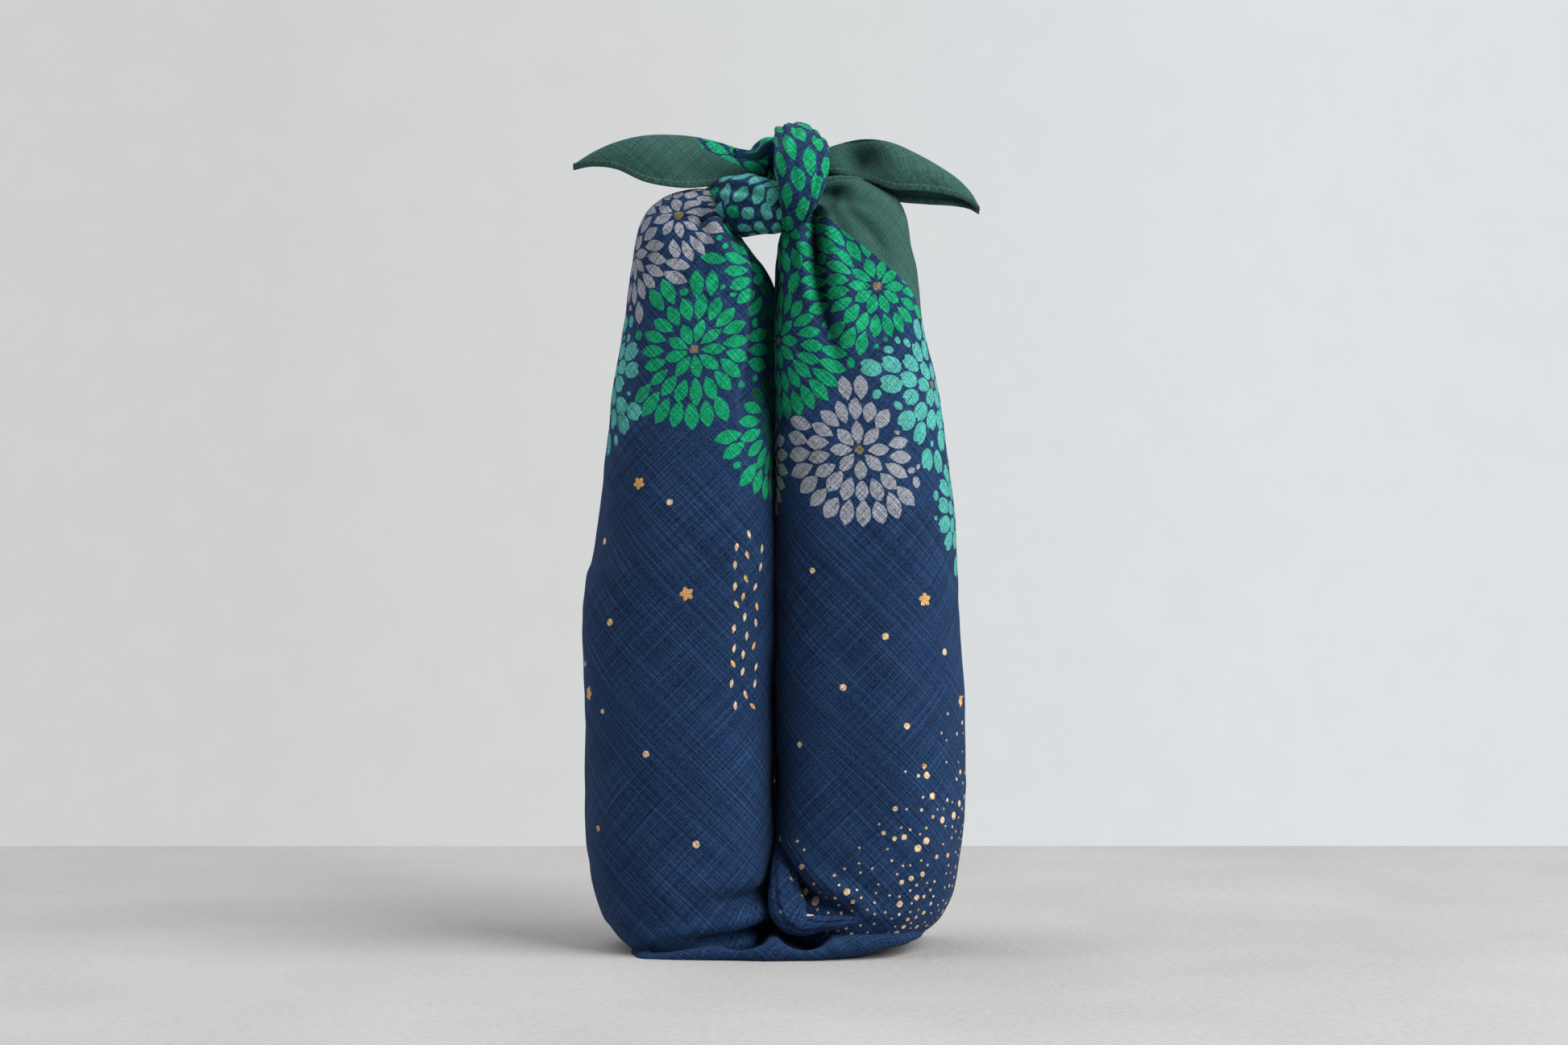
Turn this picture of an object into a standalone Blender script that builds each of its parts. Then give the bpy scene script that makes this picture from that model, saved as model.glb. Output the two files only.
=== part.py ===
"""A square cotton wrapping cloth rolled round two bottles, folded at their bases and knotted above them.

Run it with: blender --background --python part.py
Metres, +Z up. The origin is on the surface that the wrap stands on, midway between the two sleeves.
-Y is the front, and +X is to the right of someone who faces it. The tables are in millimetres.
"""

import math

import bpy
import numpy as np

MM = 0.001

# Driving sizes of the whole wrap, in millimetres.
CLOTH_FOLD_THICK = 1.5  # two layers of cloth and the air between them, in a free ear
# The forms run on a little below the floor, and one block cuts the base flat: width, depth and height.
FLOOR_CUT = (400.0, 300.0, 40.0)

# How finely each form is drawn.
SLEEVE_STEPS = 38
SLEEVE_POINTS_ROUND = 50
LIP_POINTS_ROUND = 20
STRAND_POINTS_ROUND = 14
STRAND_STEPS = 26
EAR_STEPS = 13
EAR_POINTS_ACROSS = 9

# The navy of the ground, which covers most of the cloth.
NAVY = (0.019, 0.043, 0.125, 1.0)
CLOTH_ROUGHNESS = 0.88

# Each row is one level of a sleeve: height, the side away from the other sleeve, the side against it,
# and how far it reaches to the front and to the back of the bottles' centre line.
LEFT_SLEEVE = (
    # height, outer, inner, front, back
    (-4.0, -52.0, -6.0, 32.0, 30.0),
    (0.5, -61.0, -5.0, 38.0, 34.0),
    (4.5, -65.8, -4.0, 40.0, 36.5),
    (9.0, -69.8, -3.0, 40.2, 38.5),
    (14.0, -73.2, -1.8, 40.4, 39.6),
    (22.0, -76.0, -0.4, 41.0, 40.4),
    (32.0, -78.2, 0.4, 41.5, 40.8),
    (48.0, -80.0, 0.4, 41.8, 41.2),
    (66.0, -80.9, -0.6, 41.8, 41.4),
    (74.0, -81.1, -0.6, 41.8, 41.4),
    (90.0, -81.4, 0.4, 41.6, 41.5),
    (112.0, -81.2, 0.5, 41.2, 41.5),
    (135.0, -80.6, 0.5, 41.0, 41.3),
    (156.0, -79.6, 0.5, 40.8, 40.8),
    (164.0, -77.4, 0.5, 40.6, 40.0),
    (182.0, -75.0, 0.5, 39.8, 38.8),
    (203.0, -72.4, 0.5, 37.8, 36.6),
    (218.0, -70.6, 0.5, 36.0, 34.8),
    (232.0, -68.8, 0.5, 34.0, 33.0),
    (246.0, -67.0, 0.4, 32.0, 31.0),
    (260.0, -65.0, 0.3, 29.8, 28.8),
    (272.0, -63.2, 0.5, 27.6, 26.8),
    (282.0, -61.5, -1.4, 25.8, 24.8),
    (290.0, -60.2, -5.0, 24.2, 23.0),
    (298.0, -59.0, -9.6, 22.6, 21.2),
    (305.0, -57.6, -12.6, 21.0, 19.4),
    (311.2, -54.8, -15.4, 18.8, 17.4),
    (315.8, -50.0, -19.0, 15.6, 14.6),
    (318.8, -44.0, -24.0, 11.0, 10.6),
    (320.2, -37.5, -30.5, 4.5, 4.5),
)
RIGHT_SLEEVE = (
    # height, outer, inner, front, back
    (-4.0, 42.0, 8.0, 10.0, 20.0),
    (0.5, 50.5, 6.0, 21.0, 28.0),
    (4.5, 59.0, 4.5, 33.0, 34.0),
    (9.0, 66.2, 3.0, 37.6, 37.0),
    (14.0, 71.0, 1.4, 39.4, 39.0),
    (22.0, 75.6, 0.2, 40.8, 40.2),
    (32.0, 77.8, -0.4, 41.4, 41.0),
    (48.0, 79.6, -0.4, 41.8, 41.5),
    (66.0, 80.8, 0.9, 41.9, 41.6),
    (74.0, 80.9, 0.9, 41.8, 41.6),
    (90.0, 80.7, -0.4, 41.4, 41.4),
    (112.0, 79.7, -0.5, 41.0, 41.0),
    (135.0, 78.4, -0.5, 40.8, 40.8),
    (158.0, 77.5, -0.5, 40.6, 40.4),
    (182.0, 76.1, -0.5, 40.0, 39.6),
    (200.0, 74.5, -0.5, 38.6, 38.2),
    (216.0, 72.0, -0.5, 36.8, 36.4),
    (230.0, 69.6, -0.5, 35.0, 34.4),
    (244.0, 67.0, -0.5, 33.0, 32.2),
    (258.0, 64.2, -0.4, 30.6, 29.8),
    (270.0, 62.0, -0.2, 28.4, 27.6),
    (280.0, 60.6, 0.3, 26.4, 25.6),
    (289.0, 59.4, 0.5, 24.6, 23.8),
    (297.0, 58.2, 1.0, 22.8, 22.0),
    (304.0, 56.8, 3.0, 21.0, 20.2),
    (310.0, 55.4, 9.0, 18.8, 18.0),
    (314.5, 53.0, 16.0, 15.8, 15.0),
    (317.6, 47.5, 24.0, 11.2, 10.8),
    (319.0, 40.5, 32.0, 4.5, 4.5),
)

# A crease seen from the front or the back: three points down its line, how deep it is at each
# (negative for a ridge), and how far it spreads to either side.
FRONT = -1
BACK = 1
CREASES = (
    # side, x and height of top, middle, foot, depth at top, middle, foot, spread
    (FRONT, 13.8, 306.0, 17.0, 275.0, 27.8, 236.0, 11.0, 9.0, 0.0, 6.5),
    (FRONT, 38.0, 300.0, 44.0, 262.0, 50.0, 215.0, 2.5, 2.0, 0.0, 9.0),
    (FRONT, 3.0, 38.0, 13.0, 24.0, 31.0, 17.0, 6.0, 7.0, 1.0, 5.0),
    (FRONT, -1.0, 36.0, -5.0, 22.0, -15.0, 12.0, 5.0, 6.0, 1.0, 6.0),
    (FRONT, -36.0, 306.0, -42.0, 280.0, -46.0, 240.0, 2.0, 1.6, 0.0, 7.0),
    (BACK, -14.0, 304.0, -17.0, 272.0, -24.0, 236.0, 9.0, 7.0, 0.0, 5.0),
    (BACK, -40.0, 300.0, -46.0, 266.0, -48.0, 220.0, 3.0, 2.5, 0.0, 7.0),
    (BACK, 16.0, 304.0, 14.0, 272.0, 20.0, 240.0, 10.0, 8.0, 0.0, 5.0),
    (BACK, 40.0, 300.0, 42.0, 268.0, 50.0, 225.0, 3.0, 3.0, 0.0, 7.0),
    (BACK, -2.0, 38.0, -10.0, 26.0, -26.0, 20.0, 5.0, 5.0, 0.0, 4.5),
    (BACK, 3.0, 36.0, 10.0, 24.0, 22.0, 16.0, 4.0, 4.0, 0.0, 4.5),
)
CREASE_SAMPLES = 12

# The left sleeve's front panel ends in a fold: right of this edge the cloth lies deeper.
PANEL_EDGE = (
    # height, x of the edge, how much deeper the cloth lies beside it
    (196.0, -6.0, 0.0),
    (215.0, -11.0, 3.0),
    (232.0, -14.0, 8.0),
    (250.0, -12.6, 12.0),
    (266.0, -11.0, 14.0),
    (282.0, -12.0, 13.0),
    (296.0, -15.6, 10.0),
    (308.0, -21.0, 6.0),
    (316.0, -26.0, 0.0),
)
PANEL_EDGE_SPREAD = 3.5

# The cloth that bends under both bottles, as sections along X.
BASE_LIP = (
    # x, front, back, underside, top
    (-60.0, 22.0, 20.0, -4.0, 1.0),
    (-56.0, 38.0, 28.0, -4.0, 3.0),
    (-48.0, 42.0, 34.0, -4.0, 5.0),
    (-36.0, 44.0, 39.0, -4.0, 8.0),
    (-20.0, 46.0, 42.0, -4.0, 11.5),
    (-4.0, 48.0, 43.5, -4.0, 14.2),
    (12.0, 48.0, 43.5, -4.0, 14.2),
    (28.0, 47.0, 42.5, -2.4, 13.4),
    (42.0, 44.0, 39.5, 0.4, 13.0),
    (53.0, 37.0, 34.0, 3.2, 12.0),
    (60.0, 25.0, 24.0, 5.2, 11.0),
    (63.0, 12.0, 12.0, 6.6, 10.0),
)

# The two strands of the knot: centre line, half width across the strand and half thickness.
LEFT_NECK = (
    # x, y, z, half width, half thickness
    (-37.0, 2.0, 299.0, 13.0, 12.0),
    (-31.0, 0.0, 310.5, 12.0, 11.0),
    (-21.0, -4.0, 314.8, 11.2, 10.0),
    (-10.7, -9.0, 315.4, 12.8, 10.0),
    (1.0, -8.0, 315.0, 12.0, 9.0),
    (11.5, 1.0, 316.0, 10.5, 8.0),
    (15.0, 9.0, 321.0, 9.0, 7.0),
)
LEFT_TAIL = (
    # x, y, z, half width, half thickness
    (11.0, 6.0, 316.0, 8.0, 6.5),
    (16.5, 12.0, 323.0, 9.5, 7.5),
    (11.5, 15.0, 331.0, 10.0, 8.0),
    (0.0, 12.0, 335.0, 9.5, 7.5),
    (-9.0, 5.0, 332.5, 8.5, 5.5),
    (-17.0, 0.0, 331.5, 8.0, 3.6),
)
RIGHT_NECK = (
    # x, y, z, half width, half thickness
    (47.0, 3.0, 302.0, 15.0, 16.0),
    (38.0, 3.0, 310.0, 14.0, 14.0),
    (27.0, 3.0, 315.0, 13.0, 12.0),
    (16.0, 2.0, 314.0, 12.0, 10.5),
    (8.0, -4.0, 312.5, 10.0, 8.5),
    (5.0, -12.0, 316.0, 8.0, 6.0),
)
RIGHT_TAIL = (
    # x, y, z, half width, half thickness
    (4.5, 0.0, 308.0, 7.5, 6.5),
    (4.0, -11.0, 309.5, 9.0, 7.0),
    (5.2, -17.5, 316.0, 11.0, 8.0),
    (8.4, -19.0, 325.0, 12.6, 8.4),
    (10.4, -14.0, 334.5, 12.0, 8.2),
    (10.0, -3.0, 340.2, 11.2, 8.0),
    (13.6, 7.0, 337.4, 10.2, 8.0),
    (20.5, 8.0, 333.5, 9.0, 6.5),
    (28.0, 3.0, 332.0, 8.0, 4.0),
)
PLEATS = 5  # lengthwise ridges that show on a tightened strand
PLEAT_HEIGHT = 0.07  # of the strand's half width
KNOT_CENTRE = (1.0, -1.0, 323.0)

# The free corners, as a fold: the ridge, and how far the front and the back flap hang from it.
LEFT_EAR = (
    # x, y, z of the ridge, front flap, back flap, spread of the flaps at their edges
    (-3.0, 4.0, 335.6, 9.0, 8.0, 5.0),
    (-14.0, 1.0, 337.8, 13.5, 10.5, 5.5),
    (-27.5, -3.0, 341.4, 19.5, 15.5, 5.5),
    (-40.0, -6.5, 342.9, 22.0, 17.5, 5.0),
    (-54.5, -8.5, 342.6, 19.5, 16.0, 4.2),
    (-66.5, -8.0, 340.0, 11.5, 9.5, 3.4),
    (-76.5, -6.0, 336.0, 6.0, 5.0, 2.4),
    (-85.2, -3.0, 331.0, 2.0, 1.8, 1.2),
)
RIGHT_EAR = (
    # x, y, z of the ridge, front flap, back flap, spread of the flaps at their edges
    (18.0, 4.0, 337.0, 9.0, 8.0, 5.0),
    (29.5, 0.0, 340.8, 14.0, 12.0, 6.0),
    (39.5, -3.5, 341.8, 18.0, 17.0, 6.5),
    (50.0, -6.0, 339.6, 19.5, 23.0, 6.0),
    (63.5, -6.5, 333.2, 13.8, 18.5, 5.0),
    (75.5, -4.5, 326.0, 8.5, 12.0, 4.0),
    (82.4, -2.0, 319.8, 5.0, 6.8, 2.6),
    (86.6, 0.0, 313.4, 2.2, 2.6, 1.2),
)


def clear_scene():
    """Removes what the startup scene holds."""
    for obj in list(bpy.data.objects):
        bpy.data.objects.remove(obj)


def smooth_through(stations, values, at):
    """A cubic curve through a table's values, with each slope taken from the two neighbours."""
    stations = np.asarray(stations, float)
    values = np.asarray(values, float)
    slopes = np.gradient(values, stations)
    i = np.clip(np.searchsorted(stations, at, side="right") - 1, 0, len(stations) - 2)
    span = stations[i + 1] - stations[i]
    t = (at - stations[i]) / span
    return (
        (2 * t**3 - 3 * t**2 + 1) * values[i]
        + (t**3 - 2 * t**2 + t) * span * slopes[i]
        + (3 * t**2 - 2 * t**3) * values[i + 1]
        + (t**3 - t**2) * span * slopes[i + 1]
    )


def soft_step(value):
    """Rises smoothly from 0 to 1 as value goes from 0 to 1."""
    value = np.clip(value, 0.0, 1.0)
    return value * value * (3.0 - 2.0 * value)


def signed_power(value, power):
    """|value| to a power, with the sign of value kept."""
    return np.sign(value) * np.abs(value) ** power


def crease_depth(x, z, side):
    """How far the creases of that side push each point in, from its place seen face on."""
    depth = np.zeros_like(x)
    for row in CREASES:
        if row[0] != side:
            continue
        points_x, points_z, depths = row[1:7:2], row[2:7:2], row[7:10]
        spread = row[10]
        along = np.linspace(0.0, 2.0, CREASE_SAMPLES)
        line_x = smooth_through((0, 1, 2), points_x, along)
        line_z = smooth_through((0, 1, 2), points_z, along)
        line_depth = np.interp(along, (0, 1, 2), depths)
        away = (x[..., None] - line_x) ** 2 + (z[..., None] - line_z) ** 2
        share = line_depth * np.exp(-away / spread**2)
        strongest = np.abs(share).argmax(-1)[..., None]
        depth += np.take_along_axis(share, strongest, -1)[..., 0]
    return depth


def sleeve_points(table):
    """A sleeve's rings: rounded sections from the table, pushed in along the creases."""
    at = np.linspace(0.0, len(table) - 1.0, SLEEVE_STEPS)
    rows = np.stack([smooth_through(range(len(table)), column, at) for column in zip(*table)], -1)
    angle = np.linspace(0.0, 2.0 * math.pi, SLEEVE_POINTS_ROUND, endpoint=False)
    height, outer, inner, front, back = (rows[:, i][:, None] for i in range(5))
    cosine, sine = np.cos(angle)[None, :], np.sin(angle)[None, :]
    # The side against the other sleeve is pressed flatter than the free side.
    square = np.where(cosine < 0, 2.9, 2.25)
    x = (outer + inner) / 2 + (outer - inner) / 2 * signed_power(cosine, 2 / square)
    reach = np.where(sine < 0, front, back)
    y = reach * signed_power(sine, 2 / square)
    z = height + 0 * x
    turn = 0.25 + 0.75 * soft_step(np.abs(sine) * 1.6)
    inwards = np.where(sine < 0, crease_depth(x, z, FRONT), crease_depth(x, z, BACK))
    edge_x = smooth_through(*np.array(PANEL_EDGE)[:, :2].T, np.clip(z, 196.0, 316.0))
    edge_depth = smooth_through(*np.array(PANEL_EDGE)[:, ::2].T, np.clip(z, 196.0, 316.0))
    beside = soft_step((x - edge_x) / PANEL_EDGE_SPREAD)
    inwards = inwards + np.where((sine < 0) & (outer < 0), beside * edge_depth, 0.0)
    most = 0.75 * np.abs(y)
    y = y - np.sign(sine) * np.minimum(inwards * turn, most)
    return np.stack([x, y, z], -1) * MM


def lip_points(table):
    """The base's rings along X: a low rounded slab that is widest a little above the floor."""
    rows = np.array(table)
    angle = np.linspace(0.0, 2.0 * math.pi, LIP_POINTS_ROUND, endpoint=False)
    x, front, back, underside, top = (rows[:, i][:, None] for i in range(5))
    cosine, sine = np.cos(angle)[None, :], np.sin(angle)[None, :]
    y = np.where(cosine < 0, front, back) * signed_power(cosine, 0.72)
    z = (top + underside) / 2 + (top - underside) / 2 * signed_power(sine, 0.8)
    return np.stack([x + 0 * y, y, z], -1) * MM


def strand_points(table):
    """A strand's rings: a pleated oval carried along a smooth line through the table's points."""
    rows = np.array(table, float)
    stations = np.arange(len(rows))
    at = np.linspace(0.0, len(rows) - 1.0, STRAND_STEPS)
    line = np.stack([smooth_through(stations, rows[:, i], at) for i in range(3)], -1)
    width, thick = (smooth_through(stations, rows[:, i], at) for i in (3, 4))
    tangent = np.gradient(line, axis=0)
    tangent /= np.linalg.norm(tangent, axis=1)[:, None]
    # The strand's thin side faces away from the middle of the knot.
    out = line - np.array(KNOT_CENTRE)
    out -= (out * tangent).sum(1)[:, None] * tangent
    for i in range(1, len(out)):
        carried = out[i - 1] - (out[i - 1] @ tangent[i]) * tangent[i]
        length = np.linalg.norm(carried)
        carried = carried / length if length > 1e-6 else carried
        out[i] = out[i] * 0.12 + carried * 6.0
        out[i] -= (out[i] @ tangent[i]) * tangent[i]
    out /= np.linalg.norm(out, axis=1)[:, None]
    side = np.cross(tangent, out)
    angle = np.linspace(0.0, 2.0 * math.pi, STRAND_POINTS_ROUND, endpoint=False)[None, :]
    pleat = 1.0 + PLEAT_HEIGHT * np.cos(PLEATS * angle)
    across = (width[:, None] * np.cos(angle) * pleat)[..., None]
    outwards = (thick[:, None] * np.sin(angle) * pleat)[..., None]
    return (line[:, None] + across * side[:, None] + outwards * out[:, None]) * MM


def ear_points(table):
    """A folded corner: from the front flap's edge up to the ridge and down to the back flap's edge."""
    rows = np.array(table, float)
    stations = np.arange(len(rows))
    at = np.linspace(0.0, len(rows) - 1.0, EAR_STEPS)
    x, y, z, front, back, spread = (
        smooth_through(stations, rows[:, i], at)[:, None] for i in range(6)
    )
    across = np.linspace(-1.0, 1.0, EAR_POINTS_ACROSS)[None, :]
    flap = np.where(across < 0, front, back)
    hang = np.abs(across) ** 1.25
    belly = np.sin(np.abs(across) * math.pi * 0.72)
    return np.stack(
        [x + 0 * across, y + np.sign(across) * spread * belly, z - flap * hang], -1
    ) * MM


def mesh_object(name, points, faces, collection):
    """A mesh object from points and faces, with its faces turned to point outwards."""
    mesh = bpy.data.meshes.new(name)
    mesh.from_pydata(points.reshape(-1, 3).tolist(), [], faces)
    mesh.validate()
    obj = bpy.data.objects.new(name, mesh)
    collection.objects.link(obj)
    bpy.context.view_layer.objects.active = obj
    obj.select_set(True)
    bpy.ops.object.mode_set(mode="EDIT")
    bpy.ops.mesh.select_all(action="SELECT")
    bpy.ops.mesh.normals_make_consistent(inside=False)
    bpy.ops.object.mode_set(mode="OBJECT")
    obj.select_set(False)
    return obj


def loft(name, rings, collection):
    """Closed rings joined one to the next, with a flat cap on the first and the last."""
    count, around = rings.shape[:2]
    faces = []
    for i in range(count - 1):
        for j in range(around):
            k = (j + 1) % around
            faces.append(
                (i * around + j, i * around + k, (i + 1) * around + k, (i + 1) * around + j)
            )
    faces.append(tuple(range(around)))
    faces.append(tuple((count - 1) * around + j for j in range(around)))
    return mesh_object(name, rings, faces, collection)


def folded_sheet(name, grid, thickness, collection):
    """An open grid of points given a wall on both sides of it."""
    along, across = grid.shape[:2]
    faces = [
        (i * across + j, i * across + j + 1, (i + 1) * across + j + 1, (i + 1) * across + j)
        for i in range(along - 1)
        for j in range(across - 1)
    ]
    obj = mesh_object(name, grid, faces, collection)
    wall = obj.modifiers.new("wall", "SOLIDIFY")
    wall.thickness = thickness * MM
    wall.offset = 0.0
    return obj


def floor_block(collection):
    """The block that cuts the base flat at the floor."""
    width, depth, height = (size * MM for size in FLOOR_CUT)
    bpy.ops.mesh.primitive_cube_add(size=1.0, location=(0.0, 0.0, -height / 2))
    block = bpy.context.object
    block.name = "floor_block"
    block.scale = (width, depth, height)
    bpy.ops.object.transform_apply(location=True, scale=True)
    for old in list(block.users_collection):
        old.objects.unlink(block)
    collection.objects.link(block)
    return block


def cotton():
    """Dyed cotton, dull and a little uneven."""
    material = bpy.data.materials.new("navy_cotton")
    material.use_nodes = True
    shader = material.node_tree.nodes["Principled BSDF"]
    shader.inputs["Base Color"].default_value = NAVY
    shader.inputs["Roughness"].default_value = CLOTH_ROUGHNESS
    shader.inputs["Metallic"].default_value = 0.0
    return material


def boolean(obj, others, operation):
    """Joins a collection's forms to obj, or cuts them away, in one step."""
    modifier = obj.modifiers.new(f"{operation.lower()}_{others.name}", "BOOLEAN")
    modifier.operation = operation
    modifier.solver = "EXACT"
    modifier.operand_type = "COLLECTION"
    modifier.collection = others
    for other in others.objects:
        other.hide_render = True
        other.display_type = "WIRE"


def build():
    clear_scene()
    wrap = bpy.data.collections.new("furoshiki_wrap")
    forms = bpy.data.collections.new("forms")
    cutters = bpy.data.collections.new("cutters")
    for collection in (wrap, forms, cutters):
        bpy.context.scene.collection.children.link(collection)

    cloth = loft("cloth", sleeve_points(LEFT_SLEEVE), wrap)
    loft("right_sleeve", sleeve_points(RIGHT_SLEEVE), forms)
    loft("base_lip", lip_points(BASE_LIP), forms)
    loft("left_neck", strand_points(LEFT_NECK), forms)
    loft("right_neck", strand_points(RIGHT_NECK), forms)
    loft("left_tail", strand_points(LEFT_TAIL), forms)
    loft("right_tail", strand_points(RIGHT_TAIL), forms)
    folded_sheet("left_ear", ear_points(LEFT_EAR), CLOTH_FOLD_THICK, forms)
    folded_sheet("right_ear", ear_points(RIGHT_EAR), CLOTH_FOLD_THICK, forms)
    floor_block(cutters)
    boolean(cloth, forms, "UNION")
    boolean(cloth, cutters, "DIFFERENCE")
    cloth.data.materials.append(cotton())
    cloth.data.shade_smooth()


build()
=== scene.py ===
"""A furoshiki tied round two bottles, dressed in its cloth: printed slub cotton, its folds, hems and knot.

Run by Blender 4.5. The frame is the model's: metres, +Z up, -Y is the front and +X is to the right
of someone who faces it. Tables and cloth measures are in millimetres.
"""

import math

import bmesh
import bpy
import numpy as np
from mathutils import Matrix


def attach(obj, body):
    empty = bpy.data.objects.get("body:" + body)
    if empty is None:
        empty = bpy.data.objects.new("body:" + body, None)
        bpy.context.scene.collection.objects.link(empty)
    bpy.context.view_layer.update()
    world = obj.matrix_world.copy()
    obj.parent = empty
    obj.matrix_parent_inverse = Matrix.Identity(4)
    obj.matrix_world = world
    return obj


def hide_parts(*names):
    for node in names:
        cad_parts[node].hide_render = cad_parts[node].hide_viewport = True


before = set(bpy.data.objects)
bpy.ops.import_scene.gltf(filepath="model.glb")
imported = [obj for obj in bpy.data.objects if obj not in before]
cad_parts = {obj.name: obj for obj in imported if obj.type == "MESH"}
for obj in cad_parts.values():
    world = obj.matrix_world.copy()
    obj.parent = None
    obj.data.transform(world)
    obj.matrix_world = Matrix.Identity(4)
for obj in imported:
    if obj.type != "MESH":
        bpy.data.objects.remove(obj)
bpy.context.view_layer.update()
MM = 0.001

# The camera stands level with the middle of the wrap, 1.3 m in front of it.
# Its lens takes in the photograph's whole frame, and it has no shift and no tilt.
camera_data = bpy.data.cameras.new("camera")
camera_data.lens = 70.3
camera_data.sensor_width = 36.0
camera = bpy.data.objects.new("camera", camera_data)
camera.location = (0.0038, -1.3, 0.1796)
camera.rotation_euler = (math.radians(90.0), 0.0, 0.0)
bpy.context.scene.collection.objects.link(camera)
bpy.context.scene.camera = camera
bpy.context.scene.view_settings.view_transform = "Standard"

# A pale floor that ends where the table meets the wall, in front of a pale ground painted darker at its
# left and lighter at its right: painted shade and painted light of the window falling across the wall.
# The light is soft: a wide one from the right, and weaker ones from the left and from above.
SURROUNDINGS = (0.085, 0.09, 0.10, 1.0)
WALL_LEFT_PAINTED_SHADE = (0.625, 0.63, 0.62, 1.0)
WALL_RIGHT_PAINTED_LIGHT = (0.735, 0.76, 0.785, 1.0)
LIGHTS = (
    # name, place, what it faces, width, watts, colour
    ("window", (1.8, -1.05, 1.6), (0.0, 0.0, 0.15), 2.3, 128.0, (1.0, 0.99, 0.975)),
    ("bounce", (-1.8, -0.2, 0.7), (0.0, 0.0, 0.15), 1.6, 11.0, (0.97, 0.98, 1.0)),
    ("ceiling", (-0.9, 0.4, 2.2), (0.0, 0.0, 0.1), 2.4, 42.0, (0.99, 0.99, 1.0)),
)
world = bpy.data.worlds.new("studio")
bpy.context.scene.world = world
world.use_nodes = True


class Wire:
    """One socket of a node tree. Sums and products of wires and numbers add Math nodes."""

    def __init__(self, tree, socket=None):
        self.tree = tree
        self.socket = socket

    def node(self, kind, settings, values, output=0):
        """Adds a node, with its settings set before the numbers or wires of its sockets."""
        made = self.tree.nodes.new(kind)
        for name, value in settings.items():
            setattr(made, name, value)
        for key, value in values.items():
            if isinstance(value, Wire):
                self.tree.links.new(value.socket, made.inputs[key])
            else:
                made.inputs[key].default_value = value
        return Wire(self.tree, made.outputs[output] if made.outputs else None)

    def maths(self, operation, *values, clamp=False):
        return self.node(
            "ShaderNodeMath", {"operation": operation, "use_clamp": clamp}, dict(enumerate(values))
        )

    def parts(self):
        """The x, y and z of a vector."""
        split = self.node("ShaderNodeSeparateXYZ", {}, {0: self}).socket.node
        return [Wire(self.tree, socket) for socket in split.outputs]

    def clipped(self):
        return self.maths("ADD", self, 0.0, clamp=True)

    def __add__(self, other):
        return self.maths("ADD", self, other)

    def __radd__(self, other):
        return self.maths("ADD", other, self)

    def __sub__(self, other):
        return self.maths("SUBTRACT", self, other)

    def __rsub__(self, other):
        return self.maths("SUBTRACT", other, self)

    def __mul__(self, other):
        return self.maths("MULTIPLY", self, other)

    def __rmul__(self, other):
        return self.maths("MULTIPLY", other, self)

    def __truediv__(self, other):
        return self.maths("DIVIDE", self, other)

    def __abs__(self):
        return self.maths("ABSOLUTE", self)


world.node_tree.nodes.clear()
sky = Wire(world.node_tree)
seen = sky.node("ShaderNodeLightPath", {}, {}, "Is Camera Ray")
lighting = sky.node("ShaderNodeBackground", {}, {"Color": SURROUNDINGS, "Strength": 1.0})
way = sky.node("ShaderNodeTexCoord", {}, {}, "Generated")
way_x, _, _ = way.parts()
# The ground the camera sees behind the cloth: a left-to-right blend from painted shade to painted light,
# with a faint plaster mottle.
wall = sky.node(
    "ShaderNodeMix",
    {"data_type": "RGBA"},
    {0: (way_x * 3.0 + 0.5).clipped(), 6: WALL_LEFT_PAINTED_SHADE, 7: WALL_RIGHT_PAINTED_LIGHT},
    2,
)
plaster = sky.node(
    "ShaderNodeTexNoise", {}, {"Vector": way, "Scale": 60.0, "Detail": 6.0, "Roughness": 0.7}
)
behind = sky.node("ShaderNodeBackground", {}, {"Color": wall, "Strength": 0.96 + plaster * 0.08})
both = sky.node("ShaderNodeMixShader", {}, {0: seen, 1: lighting, 2: behind})
sky.node("ShaderNodeOutputWorld", {}, {"Surface": both})

for name, place, target, width, watts, colour in LIGHTS:
    lamp = bpy.data.lights.new(name, "AREA")
    lamp.size = width
    lamp.energy = watts
    lamp.color = colour
    light = bpy.data.objects.new(name, lamp)
    light.location = place
    way = [b - a for a, b in zip(place, target)]
    light.rotation_euler = (
        math.atan2(math.hypot(way[0], way[1]), -way[2]),
        0.0,
        math.atan2(way[1], way[0]) - math.pi / 2,
    )
    bpy.context.scene.collection.objects.link(light)

floor_mesh = bpy.data.meshes.new("floor")
floor_mesh.from_pydata(
    [(-3.0, -3.0, 0.0), (3.0, -3.0, 0.0), (3.0, 0.40, 0.0), (-3.0, 0.40, 0.0)], [], [(0, 1, 2, 3)]
)
floor = bpy.data.objects.new("floor", floor_mesh)
bpy.context.scene.collection.objects.link(floor)
stone = bpy.data.materials.new("pale_floor")
stone.use_nodes = True
stone.node_tree.nodes.clear()
ground = Wire(stone.node_tree)
place = ground.node("ShaderNodeTexCoord", {}, {}, "Object")
mottle = ground.node("ShaderNodeTexNoise", {}, {"Vector": place, "Scale": 9.0, "Detail": 4.0})
fibre = ground.node("ShaderNodeTexNoise", {}, {"Vector": place, "Scale": 300.0, "Detail": 4.0})
tint = ground.node(
    "ShaderNodeMix",
    {"data_type": "RGBA"},
    {0: mottle * 0.5 + fibre * 0.5, 6: (0.285, 0.281, 0.275, 1.0), 7: (0.505, 0.50, 0.492, 1.0)},
    2,
)
relief = ground.node("ShaderNodeBump", {}, {"Height": fibre, "Strength": 0.7, "Distance": 0.0006})
matt = ground.node(
    "ShaderNodeBsdfPrincipled", {}, {"Base Color": tint, "Roughness": 0.8, "Normal": relief}
)
ground.node("ShaderNodeOutputMaterial", {}, {"Surface": matt})
floor_mesh.materials.append(stone)


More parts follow.
